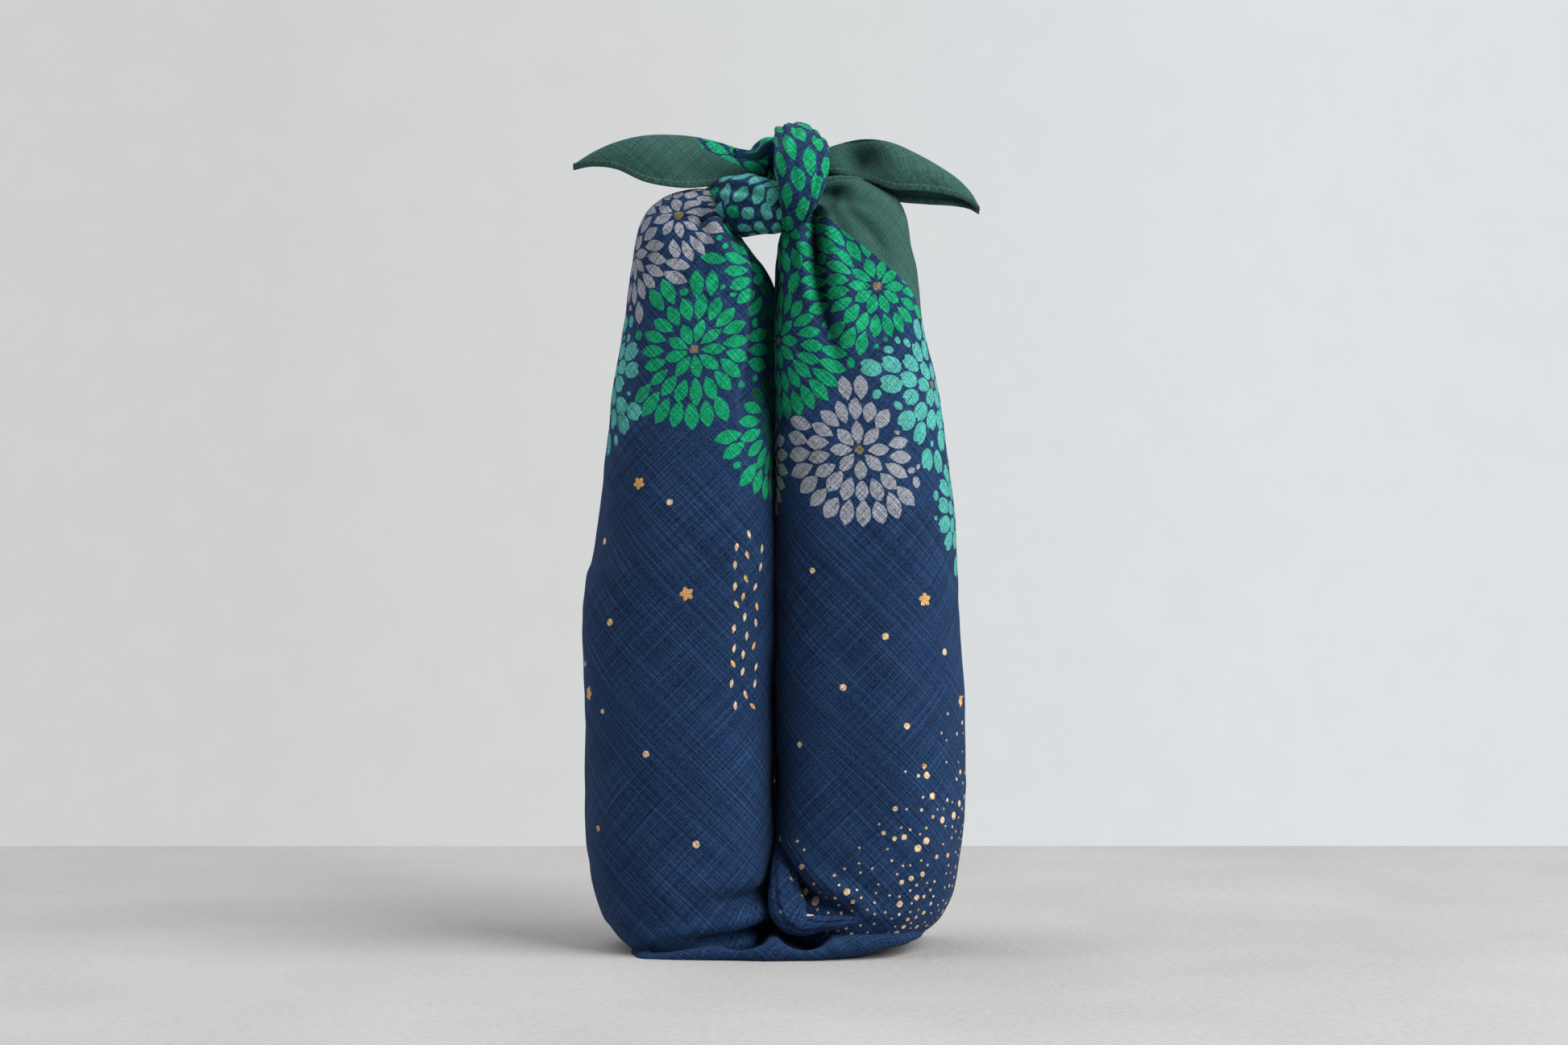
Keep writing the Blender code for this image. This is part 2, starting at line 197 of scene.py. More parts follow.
# The two sleeves: the cotton rolled slantwise round each bottle, its threads running at 45 degrees
# to the bottle. They stand side by side, closed at the foot, and draw together into the knot above.
LEFT_RINGS = (
    # outer x and z, inner x and z, and how far the ring reaches to the front and to the back
    (-52.0, -4.0, -6.0, -4.0, 32.0, 30.0),
    (-61.0, 0.5, -5.0, 0.5, 38.0, 34.0),
    (-65.8, 4.5, -4.0, 4.5, 40.0, 36.5),
    (-69.8, 9.0, -3.0, 9.0, 40.2, 38.5),
    (-73.2, 14.0, -1.8, 14.0, 40.4, 39.6),
    (-76.0, 22.0, -0.4, 22.0, 41.0, 40.4),
    (-78.2, 32.0, 0.4, 32.0, 41.5, 40.8),
    (-80.0, 48.0, 0.4, 48.0, 41.8, 41.2),
    (-80.9, 66.0, -0.6, 66.0, 41.8, 41.4),
    (-81.1, 74.0, -0.6, 74.0, 41.8, 41.4),
    (-81.4, 90.0, 0.4, 90.0, 41.6, 41.5),
    (-81.2, 112.0, 0.5, 112.0, 41.2, 41.5),
    (-80.6, 135.0, 0.5, 135.0, 41.0, 41.3),
    (-79.6, 156.0, 0.5, 156.0, 40.8, 40.8),
    (-77.4, 164.0, 0.5, 164.0, 40.6, 40.0),
    (-75.0, 182.0, 0.5, 182.0, 39.8, 38.8),
    (-72.4, 203.0, 0.5, 203.0, 37.8, 36.6),
    (-70.6, 218.0, 0.5, 218.0, 36.0, 34.8),
    (-68.8, 232.0, 0.5, 232.0, 34.0, 33.0),
    (-67.0, 246.0, 0.4, 246.0, 32.0, 31.0),
    (-65.0, 260.0, 0.3, 260.0, 29.8, 28.8),
    (-63.2, 272.0, 0.4, 272.0, 27.6, 26.8),
    (-61.5, 282.0, -1.4, 281.0, 25.8, 24.8),
    (-60.2, 290.0, -5.0, 288.0, 24.2, 23.0),
    (-59.0, 298.0, -9.6, 294.0, 22.6, 21.2),
    (-57.6, 305.0, -12.6, 297.5, 21.0, 19.4),
    (-54.8, 311.2, -15.0, 300.0, 19.2, 17.4),
    (-50.0, 315.8, -17.2, 301.4, 17.0, 15.4),
    (-44.0, 319.2, -18.8, 302.4, 14.6, 13.4),
    (-37.0, 321.0, -19.6, 303.2, 12.0, 11.4),
    (-30.0, 321.2, -19.4, 304.2, 11.4, 9.6),
    (-23.0, 320.0, -16.8, 305.4, 9.4, 8.0),
    (-16.0, 318.4, -12.8, 306.4, 6.0, 6.6),
)
RIGHT_RINGS = (
    # outer x and z, inner x and z, and how far the ring reaches to the front and to the back
    (42.0, -4.0, 8.0, -4.0, 10.0, 20.0),
    (50.5, 0.5, 6.0, 0.5, 21.0, 28.0),
    (59.0, 4.5, 4.5, 4.5, 33.0, 34.0),
    (66.2, 9.0, 3.0, 9.0, 37.6, 37.0),
    (71.0, 14.0, 1.4, 14.0, 39.4, 39.0),
    (75.6, 22.0, 0.2, 22.0, 40.8, 40.2),
    (77.8, 32.0, -0.4, 32.0, 41.4, 41.0),
    (79.6, 48.0, -0.4, 48.0, 41.8, 41.5),
    (80.8, 66.0, 0.9, 66.0, 41.9, 41.6),
    (80.9, 74.0, 0.9, 74.0, 41.8, 41.6),
    (80.7, 90.0, -0.4, 90.0, 41.4, 41.4),
    (79.7, 112.0, -0.5, 112.0, 41.0, 41.0),
    (78.4, 135.0, -0.5, 135.0, 40.8, 40.8),
    (77.5, 158.0, -0.5, 158.0, 40.6, 40.4),
    (76.1, 182.0, -0.5, 182.0, 40.0, 39.6),
    (74.5, 200.0, -0.5, 200.0, 38.6, 38.2),
    (72.0, 216.0, -0.5, 216.0, 36.8, 36.4),
    (69.6, 230.0, -0.5, 230.0, 35.0, 34.4),
    (67.0, 244.0, -0.5, 244.0, 33.0, 32.2),
    (64.2, 258.0, -0.4, 258.0, 30.6, 29.8),
    (62.0, 270.0, -0.2, 270.0, 28.4, 27.6),
    (60.6, 280.0, 0.3, 280.0, 26.4, 25.6),
    (59.4, 289.0, 0.5, 288.0, 24.6, 23.8),
    (58.0, 297.0, 1.0, 295.0, 22.8, 22.0),
    (57.2, 304.0, 2.0, 300.0, 21.2, 20.4),
    (55.8, 310.0, 3.2, 303.4, 19.6, 18.8),
    (53.0, 315.6, 4.4, 305.6, 17.8, 17.0),
    (48.0, 319.8, 5.4, 307.4, 15.8, 15.4),
    (41.4, 323.0, 6.4, 308.8, 13.8, 13.4),
    (34.0, 325.6, 7.2, 310.0, 11.6, 11.6),
    (26.0, 327.0, 8.2, 311.0, 9.8, 10.0),
    (18.0, 326.6, 9.0, 311.8, 8.6, 9.0),
)
SLEEVE_LEVELS = 330
SLEEVE_AROUND = 250
OVERLAP_DEGREES = 10.0  # hidden between the sleeves, on either side of a full turn
OVERLAP_LIFT = 0.8
# The left sleeve's front panel ends in a fold: right of this edge the cloth lies deeper.
PANEL_EDGE = (
    # height, x of the edge, how much deeper the cloth lies beside it
    (196.0, -9.0, 0.0),
    (212.0, -14.0, 3.0),
    (229.0, -15.6, 10.0),
    (243.0, -13.6, 15.0),
    (257.0, -12.2, 18.0),
    (271.5, -11.4, 19.0),
    (282.0, -10.8, 17.0),
    (292.0, -12.6, 16.0),
    (300.5, -18.0, 15.0),
    (308.0, -21.6, 12.0),
    (316.0, -26.0, 0.0),
)
PANEL_EDGE_SPREAD = 1.8
FRONT = -1
BACK = 1
# The deep folds, pushed straight in from the side where they show.
DEEP_FOLDS = (
    # side, x and height of top, middle, foot, depth at top, middle, foot, spread
    (FRONT, 16.6, 308.0, 19.6, 276.0, 27.0, 240.0, 15.0, 13.0, 0.0, 3.6),
    (FRONT, -18.0, 309.0, -17.4, 301.0, -15.5, 293.0, 12.0, 12.0, 3.0, 2.6),
    (FRONT, 20.0, 318.0, 24.5, 318.6, 30.0, 320.0, 5.0, 7.0, 1.0, 3.4),
    (FRONT, 38.0, 300.0, 44.0, 262.0, 50.0, 215.0, 2.5, 2.0, 0.0, 9.0),
    (FRONT, 2.0, 42.0, 12.5, 27.6, 29.0, 19.6, 7.0, 9.5, 4.0, 3.4),
    (FRONT, 0.0, 36.0, -6.0, 26.6, -22.0, 23.0, 7.0, 9.0, 2.0, 3.4),
    (FRONT, -30.0, 8.0, -14.0, 10.2, -2.0, 12.6, 2.0, 8.0, 8.0, 2.6),
    (FRONT, 6.0, 11.0, 14.0, 10.0, 22.0, 11.0, 6.0, 7.0, 2.0, 3.0),
    (FRONT, -36.0, 306.0, -42.0, 280.0, -46.0, 240.0, 2.0, 1.6, 0.0, 7.0),
    (BACK, -14.0, 304.0, -17.0, 272.0, -24.0, 236.0, 9.0, 7.0, 0.0, 5.0),
    (BACK, -40.0, 300.0, -46.0, 266.0, -48.0, 220.0, 3.0, 2.5, 0.0, 7.0),
    (BACK, 16.0, 304.0, 14.0, 272.0, 20.0, 240.0, 10.0, 8.0, 0.0, 5.0),
    (BACK, 40.0, 300.0, 42.0, 268.0, 50.0, 225.0, 3.0, 3.0, 0.0, 7.0),
    (BACK, -2.0, 38.0, -10.0, 26.0, -26.0, 20.0, 5.0, 5.0, 0.0, 4.5),
    (BACK, 3.0, 36.0, 10.0, 24.0, 22.0, 16.0, 4.0, 4.0, 0.0, 4.5),
)
# The small folds, pressed in along the cloth's own normal. A negative depth is a ridge.
SMALL_FOLDS = (
    # side, x and height of top, middle, foot, depth at top, middle, foot, spread
    (FRONT, -30.0, 311.0, -44.0, 311.5, -54.0, 309.0, 2.2, 1.6, 0.0, 1.6),
    (FRONT, -30.0, 309.0, -42.0, 306.5, -52.0, 302.0, 2.4, 1.6, 0.0, 1.8),
    (FRONT, -30.5, 307.5, -38.0, 301.0, -46.0, 291.0, 2.4, 1.6, 0.0, 1.8),
    (FRONT, -30.0, 306.5, -34.0, 298.0, -38.0, 282.0, 2.4, 1.8, 0.0, 2.0),
    (FRONT, -29.0, 306.0, -29.0, 296.0, -30.0, 276.0, 2.2, 1.6, 0.0, 2.0),
    (FRONT, -27.0, 306.0, -23.0, 298.0, -20.5, 284.0, -1.8, -1.6, 0.0, 2.6),
    (FRONT, -48.0, 306.8, -36.0, 308.0, -27.0, 308.6, 0.6, 1.6, 2.6, 1.6),
    (FRONT, 18.0, 312.0, 28.0, 315.0, 44.0, 312.0, 2.0, 1.6, 0.0, 2.6),
    (FRONT, 24.0, 308.0, 33.0, 290.0, 42.0, 262.0, 1.8, 1.6, 0.0, 3.4),
    (FRONT, 20.0, 309.0, 26.0, 286.0, 34.0, 256.0, -1.6, -1.2, 0.0, 3.6),
    (FRONT, 30.0, 312.0, 42.0, 299.0, 52.0, 274.0, 1.6, 1.2, 0.0, 3.2),
    (FRONT, 27.0, 314.0, 36.0, 309.0, 48.0, 298.0, -1.4, -1.2, 0.0, 3.2),
    (FRONT, 6.0, 303.0, 7.5, 285.0, 9.0, 262.0, 1.4, 1.2, 0.0, 2.2),
    (FRONT, 10.0, 304.0, 12.0, 284.0, 14.0, 268.0, -1.2, -0.8, 0.0, 2.0),
    (FRONT, -54.0, 7.4, -32.0, 12.4, -6.0, 18.0, -0.8, -4.2, -4.4, 3.4),
    (FRONT, 34.0, 18.5, 44.0, 18.0, 58.0, 17.0, -0.6, -1.6, -0.6, 3.2),
    (FRONT, 6.5, 46.0, 18.0, 33.0, 34.0, 24.5, -1.4, -3.0, -0.8, 3.8),
    (FRONT, -46.0, 38.0, -26.0, 30.0, -10.0, 33.0, 0.0, -1.4, -1.8, 5.0),
    (FRONT, 26.0, 34.0, 40.0, 27.0, 58.0, 26.0, 1.2, 1.0, 0.0, 4.0),
    (FRONT, -68.0, 60.0, -60.0, 34.0, -48.0, 16.0, 0.0, 1.0, 0.8, 6.0),
    (BACK, -24.0, 306.0, -30.0, 286.0, -34.0, 262.0, 2.0, 1.6, 0.0, 2.4),
    (BACK, -33.0, 308.0, -38.0, 292.0, -42.0, 270.0, 2.0, 1.4, 0.0, 2.4),
    (BACK, 24.0, 308.0, 29.0, 286.0, 34.0, 260.0, 2.0, 1.6, 0.0, 2.6),
    (BACK, 33.0, 309.0, 38.0, 292.0, 43.0, 270.0, 1.8, 1.4, 0.0, 2.6),
)
FOLD_SAMPLES = 32
# The cloth's plain border crosses each sleeve slantwise, from this line to its free edge.
# Its height at the middle of the front, how much it rises with each millimetre round the sleeve.
LEFT_BORDER = (352.0, 1.0)
RIGHT_BORDER = (303.5, -0.82)
BORDER_WIDTH = 49.0  # measured upwards
EDGE_STEP = 1.0  # from the free edge down to the cloth below it
# The inks, as the dye takes them on the cotton.
NAVY = (0.0062, 0.0245, 0.073, 1.0)
BORDER_GREEN = (0.028, 0.084, 0.071, 1.0)
INKS = {
    "green": (0.001, 0.225, 0.095),
    # deep green: on the left sleeve's petals beside the panel edge it is painted shade for the recess
    # there; on the knot's back strand it is a darker print.
    "deep": (0.001, 0.066, 0.036),
    "teal": (0.056, 0.285, 0.250),
    "grey": (0.225, 0.237, 0.275),
    "amber": (0.56, 0.30, 0.10),
    "cream": (0.56, 0.40, 0.24),
    "brown": (0.14, 0.115, 0.06),
}
# The forms of the print, by number: pointed petal, notched petal, dot and five-lobed blossom.
POINTED, NOTCHED, DOT, BLOSSOM = 1, 2, 3, 4
LEFT_SINGLES = (
    # u and v of the middle, half its size, form, ink
    (-20.0, 196.0, 2.6, BLOSSOM, "amber"),
    (-6.0, 188.0, 1.3, DOT, "cream"),
    (-41.0, 172.0, 1.4, DOT, "cream"),
    (-30.0, 138.0, 1.5, DOT, "cream"),
    (4.0, 150.0, 2.9, BLOSSOM, "amber"),
    (-44.0, 108.0, 3.0, BLOSSOM, "amber"),
    (-50.0, 120.0, 1.2, DOT, "cream"),
    (-33.0, 101.0, 1.0, DOT, "cream"),
    (-55.0, 94.0, 1.4, DOT, "cream"),
    (-12.0, 84.0, 1.4, DOT, "cream"),
    (-61.0, 70.0, 1.0, DOT, "cream"),
    (8.0, 47.0, 1.5, DOT, "cream"),
    (-38.0, 52.0, 1.3, DOT, "amber"),
)
RIGHT_SINGLES = (
    # u and v of the middle, half its size, form, ink
    (-24.0, 160.0, 1.2, DOT, "cream"),
    (24.0, 148.0, 2.9, BLOSSOM, "amber"),
    (6.0, 133.0, 1.4, DOT, "cream"),
    (35.0, 126.0, 1.4, DOT, "cream"),
    (-12.0, 112.0, 1.4, DOT, "cream"),
    (48.0, 105.0, 2.6, BLOSSOM, "amber"),
    (14.0, 96.0, 1.3, DOT, "cream"),
    (-32.0, 88.0, 1.2, DOT, "cream"),
)
LEFT_ROSETTES = (
    # u and v of the middle, radius, petal's half length and half width, form, ink
    (-34.0, 294.0, 29.0, 5.4, 2.6, POINTED, "grey"),
    (-52.0, 244.0, 35.0, 4.8, 3.5, NOTCHED, "teal"),
    (0.0, 252.0, 33.0, 5.9, 2.8, POINTED, "green"),
    (44.0, 222.0, 32.0, 5.9, 2.8, POINTED, "green"),
    (34.0, 286.0, 31.0, 5.6, 2.7, POINTED, "green"),
    (-6.0, 312.0, 24.0, 5.2, 2.5, POINTED, "grey"),
    (-100.0, 262.0, 31.0, 5.9, 2.8, POINTED, "green"),
    (-118.0, 208.0, 27.0, 5.4, 2.7, POINTED, "grey"),
    (-74.0, 306.0, 30.0, 5.4, 2.7, POINTED, "green"),
    (80.0, 258.0, 30.0, 4.7, 3.5, NOTCHED, "teal"),
)
RIGHT_ROSETTES = (
    # u and v of the middle, radius, petal's half length and half width, form, ink
    (-36.0, 256.0, 31.0, 5.8, 2.7, POINTED, "green"),
    (12.0, 280.0, 34.0, 5.6, 2.6, POINTED, "green"),
    (38.0, 238.0, 38.0, 4.9, 3.6, NOTCHED, "teal"),
    (-2.0, 210.0, 29.0, 5.5, 2.9, POINTED, "grey"),
    (62.0, 184.0, 31.0, 4.9, 3.5, NOTCHED, "teal"),
    (-30.0, 308.0, 30.0, 5.8, 2.8, POINTED, "green"),
    (54.0, 290.0, 28.0, 5.4, 2.6, POINTED, "green"),
    (98.0, 226.0, 33.0, 5.9, 2.8, POINTED, "green"),
    (-66.0, 208.0, 26.0, 5.4, 2.7, POINTED, "grey"),
    (-76.0, 258.0, 30.0, 4.7, 3.4, NOTCHED, "teal"),
)
# Beyond this u, and above this v, the left sleeve's petals take the deep green ink: painted shade for the
# recess beside the panel edge.
PANEL_PAINTED_SHADE = (29.0, 214.0)
# Rosettes below this height end at their radius. Above it they spread till they meet.
MEETING_HEIGHT = 236.0


def smooth_through(stations, values, at):
    """A cubic curve through a table's values, with each slope taken from the two neighbours."""
    stations = np.asarray(stations, float)
    values = np.asarray(values, float)
    slopes = np.gradient(values, stations)
    i = np.clip(np.searchsorted(stations, at, side="right") - 1, 0, len(stations) - 2)
    span = stations[i + 1] - stations[i]
    t = (at - stations[i]) / span
    return (
        (2 * t**3 - 3 * t**2 + 1) * values[i]
        + (t**3 - 2 * t**2 + t) * span * slopes[i]
        + (3 * t**2 - 2 * t**3) * values[i + 1]
        + (t**3 - t**2) * span * slopes[i + 1]
    )


def soft_step(value):
    """Rises smoothly from 0 to 1 as value goes from 0 to 1."""
    value = np.clip(value, 0.0, 1.0)
    return value * value * (3.0 - 2.0 * value)


def signed_power(value, power):
    """|value| to a power, with the sign of value kept."""
    return np.sign(value) * np.abs(value) ** power


def fold_depth(x, z, side, folds):
    """The sum over one side's folds of depth * exp(-(distance to the fold's line / spread) squared)."""
    depth = np.zeros_like(x)
    for row in folds:
        if row[0] != side:
            continue
        along = np.linspace(0.0, 2.0, FOLD_SAMPLES)
        line_x = smooth_through((0, 1, 2), row[1:7:2], along)
        line_z = smooth_through((0, 1, 2), row[2:7:2], along)
        line_depth = np.interp(along, (0, 1, 2), row[7:10])
        strongest = np.zeros_like(x)
        for i in range(FOLD_SAMPLES):
            away = (x - line_x[i]) ** 2 + (z - line_z[i]) ** 2
            share = line_depth[i] * np.exp(-away / row[10] ** 2)
            strongest = np.where(np.abs(share) > np.abs(strongest), share, strongest)
        depth += strongest
    return depth


def ripples(u, v, seed, shortest, longest, height, count=14):
    """A soft uneven surface: the mean of sine waves of many lengths, directions and phases."""
    random = np.random.default_rng(seed)
    total = np.zeros_like(u)
    for _ in range(count):
        length = shortest * (longest / shortest) ** random.random()
        turn = random.random() * math.pi
        phase = random.random() * 2.0 * math.pi
        total += np.sin(
            2.0 * math.pi * (u * math.cos(turn) + v * math.sin(turn)) / length + phase
        ) * (length / longest)
    return total * height / math.sqrt(count)


def grid_normals(points):
    """Unit normals of a rolled grid: the cross product of its two tangents, turned away from its axis."""
    normal = np.cross(np.gradient(points, axis=0), np.gradient(points, axis=1))
    normal /= np.maximum(np.linalg.norm(normal, axis=-1, keepdims=True), 1e-9)
    outwards = ((points - points.mean(1, keepdims=True)) * normal).sum(-1).mean()
    return normal if outwards > 0 else -normal


def run_lengths(points, axis):
    """The length run along each line of a grid, from its first point."""
    steps = np.linalg.norm(np.diff(points, axis=axis), axis=-1)
    run = np.cumsum(steps, axis=axis)
    first = np.zeros_like(np.take(run, [0], axis=axis))
    return np.concatenate([first, run], axis=axis)


def sleeve_rings(table):
    """Leaning rounded rings of a rolled sheet, evenly spaced, from one hidden edge round to the other."""
    table = np.array(table, float)
    stations = np.arange(len(table))
    fine = np.linspace(0.0, len(table) - 1.0, 4000)
    curve = np.stack([smooth_through(stations, column, fine) for column in table.T], -1)
    steps = np.abs(np.diff(curve, axis=0))
    step = np.maximum(np.hypot(steps[:, 0], steps[:, 1]), np.hypot(steps[:, 2], steps[:, 3]))
    step = np.concatenate([[0.0], np.cumsum(np.maximum(step, steps[:, 4]))])
    at = np.interp(np.linspace(0.0, step[-1], SLEEVE_LEVELS), step, fine)
    rows = [smooth_through(stations, column, at)[:, None] for column in table.T]
    outer_x, outer_z, inner_x, inner_z, front, back = rows
    turn = np.radians(
        np.linspace(180.0 - OVERLAP_DEGREES, 540.0 + OVERLAP_DEGREES, SLEEVE_AROUND)
    )[None, :]
    # The columns lie closer together at the front and the back, where the folds are.
    turn = turn - 0.21 * np.sin(2.0 * (turn - 1.5 * math.pi))
    cosine, sine = np.cos(turn), np.sin(turn)
    # The side against the other sleeve is pressed flatter than the free side.
    square = np.where(cosine < 0, 2.9, 2.25)
    across = signed_power(cosine, 2.0 / square)
    x = (outer_x + inner_x) / 2 + (outer_x - inner_x) / 2 * across
    z = (outer_z + inner_z) / 2 + (outer_z - inner_z) / 2 * across
    y = np.where(sine < 0, front, back) * signed_power(sine, 2.0 / square)
    return np.stack([x, y, z], -1), np.degrees(turn), sine


def sleeve(table, border, seed):
    """A sleeve's points and its cloth measures.

    The rings are pushed straight in along the deep folds, then moved along their normals by the
    small folds, the free edge's step and soft ripples. u is the length round the sleeve from the
    middle of the front, towards +X, before it is pushed in, and v is the length up the sleeve.
    """
    points, turn, sine = sleeve_rings(table)
    x, y, z = (points[..., i] for i in range(3))
    left = table[0][0] < 0
    lengths = run_lengths(points, 0)
    foot = np.abs(z[:, :1] - 60.0).argmin()
    v = lengths - lengths[foot] + 60.0
    facing = 0.25 + 0.75 * soft_step(np.abs(sine) * 1.6)
    deep = np.where(
        sine < 0, fold_depth(x, z, FRONT, DEEP_FOLDS), fold_depth(x, z, BACK, DEEP_FOLDS)
    )
    if left:
        edge = np.array(PANEL_EDGE)
        edge_x = smooth_through(edge[:, 0], edge[:, 1], np.clip(z, 196.0, 316.0))
        edge_depth = smooth_through(edge[:, 0], edge[:, 2], np.clip(z, 196.0, 316.0))
        beside = soft_step((x - edge_x) / PANEL_EDGE_SPREAD)
        deep = deep + np.where(sine < 0, beside * edge_depth, 0.0)
    around = run_lengths(points, 1)
    y = y - np.sign(sine) * np.minimum(deep * facing, 0.88 * np.abs(y))
    points = np.stack([x, y, z], -1)
    middle = np.abs(turn[0] - 270.0).argmin()
    u = (around - around[:, middle : middle + 1]) * (-1.0 if left else 1.0)
    normal = grid_normals(points)
    small = np.where(
        sine < 0, fold_depth(x, z, FRONT, SMALL_FOLDS), fold_depth(x, z, BACK, SMALL_FOLDS)
    )
    inner_line = border[0] + border[1] * u
    past_edge = v - inner_line - BORDER_WIDTH
    out = -small * facing
    out = out - EDGE_STEP * soft_step(past_edge / 1.2)
    out = out + OVERLAP_LIFT * soft_step((turn - 520.0) / 20.0)
    out = out + ripples(u, v, seed, 26.0, 90.0, 0.9) + ripples(u, v, seed + 1, 9.0, 24.0, 0.16)
    points = points + normal * out[..., None]
    points[..., 2] = np.maximum(points[..., 2], 0.0)
    band = np.minimum(v - inner_line, -past_edge)
    return points, u, v, band


def rosette(row, random):
    """Rings of petals about a middle, as many in each as fit side by side, none quite like the next."""
    u, v, radius, length, width, form, ink = row
    motifs = [(u, v, 0.0, 1.9, 1.9, DOT, "brown")]
    for ring in range(int(1.6 * radius / (1.72 * length))):
        size = 0.84 + 0.16 * min(ring, 2) / 2.0
        reach = 2.4 + length * (0.95 + 1.72 * ring)
        count = int(2.0 * math.pi * reach / (2.22 * width * size))
        for petal in range(count):
            angle = 2.0 * math.pi * (petal + 0.5 * (ring % 2)) / count + 0.35 * ring
            off = reach + random.normal() * 0.35
            motifs.append(
                (
                    u + off * math.cos(angle),
                    v + off * math.sin(angle),
                    angle + random.normal() * 0.07,
                    length * size * (1.0 + random.normal() * 0.05),
                    width * size * (1.0 + random.normal() * 0.05),
                    form,
                    ink,
                )
            )
    return motifs


def print_layout(rosettes, seed, singles, spray, grains):
    """The motifs of one sleeve.

    A petal is kept where its own rosette is the nearest one in proportion to its radius. Small
    buds fill the gaps between them. Below lie single blossoms and dots, kept apart by chance
    places that are too near being left out, a spray of dots, and a column of slim grains.
    """
    random = np.random.default_rng(seed)
    discs = np.array([row[:3] for row in rosettes])
    kept = []

    def nearness(u, v, half):
        """Below 1 where a petal that is `half` wide would overlap one that is there."""
        if not kept:
            return 9.0
        table = np.array([motif[:5] for motif in kept])
        off = table[:, :2] - (u, v)
        cosine, sine = np.cos(table[:, 2]), np.sin(table[:, 2])
        along = (off[:, 0] * cosine + off[:, 1] * sine) / (table[:, 3] + half)
        across = (off[:, 1] * cosine - off[:, 0] * sine) / (table[:, 4] + half)
        return (along**2 + across**2).min()

    for i, row in enumerate(rosettes):
        for motif in rosette(row, random):
            share = np.hypot(motif[0] - discs[:, 0], motif[1] - discs[:, 1]) / discs[:, 2]
            most = 1.45 if motif[1] > MEETING_HEIGHT and share[i] > 0.2 else 1.02
            other = np.delete(share, i).min()
            tip = 0.5 * motif[3]
            tips = [
                nearness(
                    motif[0] + end * tip * math.cos(motif[2]),
                    motif[1] + end * tip * math.sin(motif[2]),
                    0.5 * motif[4],
                )
                for end in (-1.0, 1.0)
            ]
            if share[i] < min(most, other - 0.01) and min(tips) > 0.95:
                kept.append(motif)
    for _ in range(4200):
        u = random.uniform(-150.0, 150.0)
        v = random.uniform(180.0, 340.0)
        share = np.hypot(u - discs[:, 0], v - discs[:, 1]) / discs[:, 2]
        nearest = share.argmin()
        if share[nearest] > (1.4 if v > MEETING_HEIGHT else 0.98):
            continue
        half = random.uniform(0.9, 2.0)
        if nearness(u, v, half + 0.7) > 1.0:
            turn = random.random() * 6.3
            kept.append((u, v, turn, half * 1.35, half, DOT, rosettes[nearest][6]))
    places = np.zeros((0, 2))

    def scatter(u, v, length, width, turn, form, ink, apart):
        nonlocal places
        off = np.hypot(u - discs[:, 0], v - discs[:, 1]) - discs[:, 2]
        near = np.hypot(places[:, 0] - u, places[:, 1] - v)
        if off.min() > length + 3.0 and (not len(near) or near.min() > apart):
            places = np.concatenate([places, [[u, v]]])
            kept.append((u, v, turn, length, width, form, ink))

    for u, v, half, form, ink in singles:
        scatter(u, v, half, half, random.random() * 6.3, form, ink, 0.0)
    for _ in range(26):
        u = random.uniform(60.0, 205.0) * (-1.0 if spray is None else 1.0)
        v = random.uniform(34.0, 180.0)
        half = random.uniform(0.8, 1.5)
        scatter(u, v, half, half, 0.0, DOT, "cream", 20.0)
    for row in range(grains[3]):
        for column in range(3):
            u = grains[0] + 5.4 * column + 1.1 * random.normal()
            v = grains[1] + grains[2] * (row + 0.5 * (column % 2)) + 0.7 * random.normal()
            ink = "amber" if random.random() < 0.3 else "cream"
            scatter(u, v, 1.9, 0.75, math.pi / 2 + 0.3 * random.normal(), POINTED, ink, 2.0)
    for _ in range(700 if spray else 0):
        u = spray[0] + random.normal() * spray[2]
        v = spray[1] + abs(random.normal()) * spray[3] * (0.6 + 0.9 * soft_step((u + 20.0) / 80.0))
        half = 0.45 + 1.15 * random.random() ** 3
        ink = "amber" if random.random() < 0.16 else "cream"
        scatter(u, v, half, half, 0.0, DOT, ink, 2.6 + half)
    return kept


def face_motifs(corners, motifs):
    """Each face's motif: the one whose middle is nearest, measured in that motif's half sizes.

    Gives every corner's place in its motif, along and across, then the form and half width, and the ink.
    """
    middle = corners.mean(1)
    nearest = np.full(len(middle), 7.0)
    chosen = np.full(len(middle), -1)
    for i, (u, v, turn, length, width, _, _) in enumerate(motifs):
        off = middle - (u, v)
        near = np.nonzero(np.abs(off).max(1) < length + 3.0)[0]
        along = (off[near, 0] * math.cos(turn) + off[near, 1] * math.sin(turn)) / length
        across = (off[near, 1] * math.cos(turn) - off[near, 0] * math.sin(turn)) / width
        away = along**2 + across**2
        closer = near[away < nearest[near]]
        nearest[closer] = away[away < nearest[near]]
        chosen[closer] = i
    table = np.array([row[:6] for row in motifs] + [(0.0, 0.0, 0.0, 1.0, 1.0, 0.0)])
    inks = np.array([INKS[row[6]] for row in motifs] + [(0.0, 0.0, 0.0)])
    mine = table[chosen][:, None, :]
    off = corners - mine[..., :2]
    cosine, sine = np.cos(mine[..., 2]), np.sin(mine[..., 2])
    along = (off[..., 0] * cosine + off[..., 1] * sine) / mine[..., 3]
    across = (off[..., 1] * cosine - off[..., 0] * sine) / mine[..., 4]
    form = np.broadcast_to(mine[..., [5, 4]], along.shape + (2,))
    ink = np.broadcast_to(inks[chosen][:, None, :], along.shape + (3,))
    return np.stack([along, across], -1), form, ink


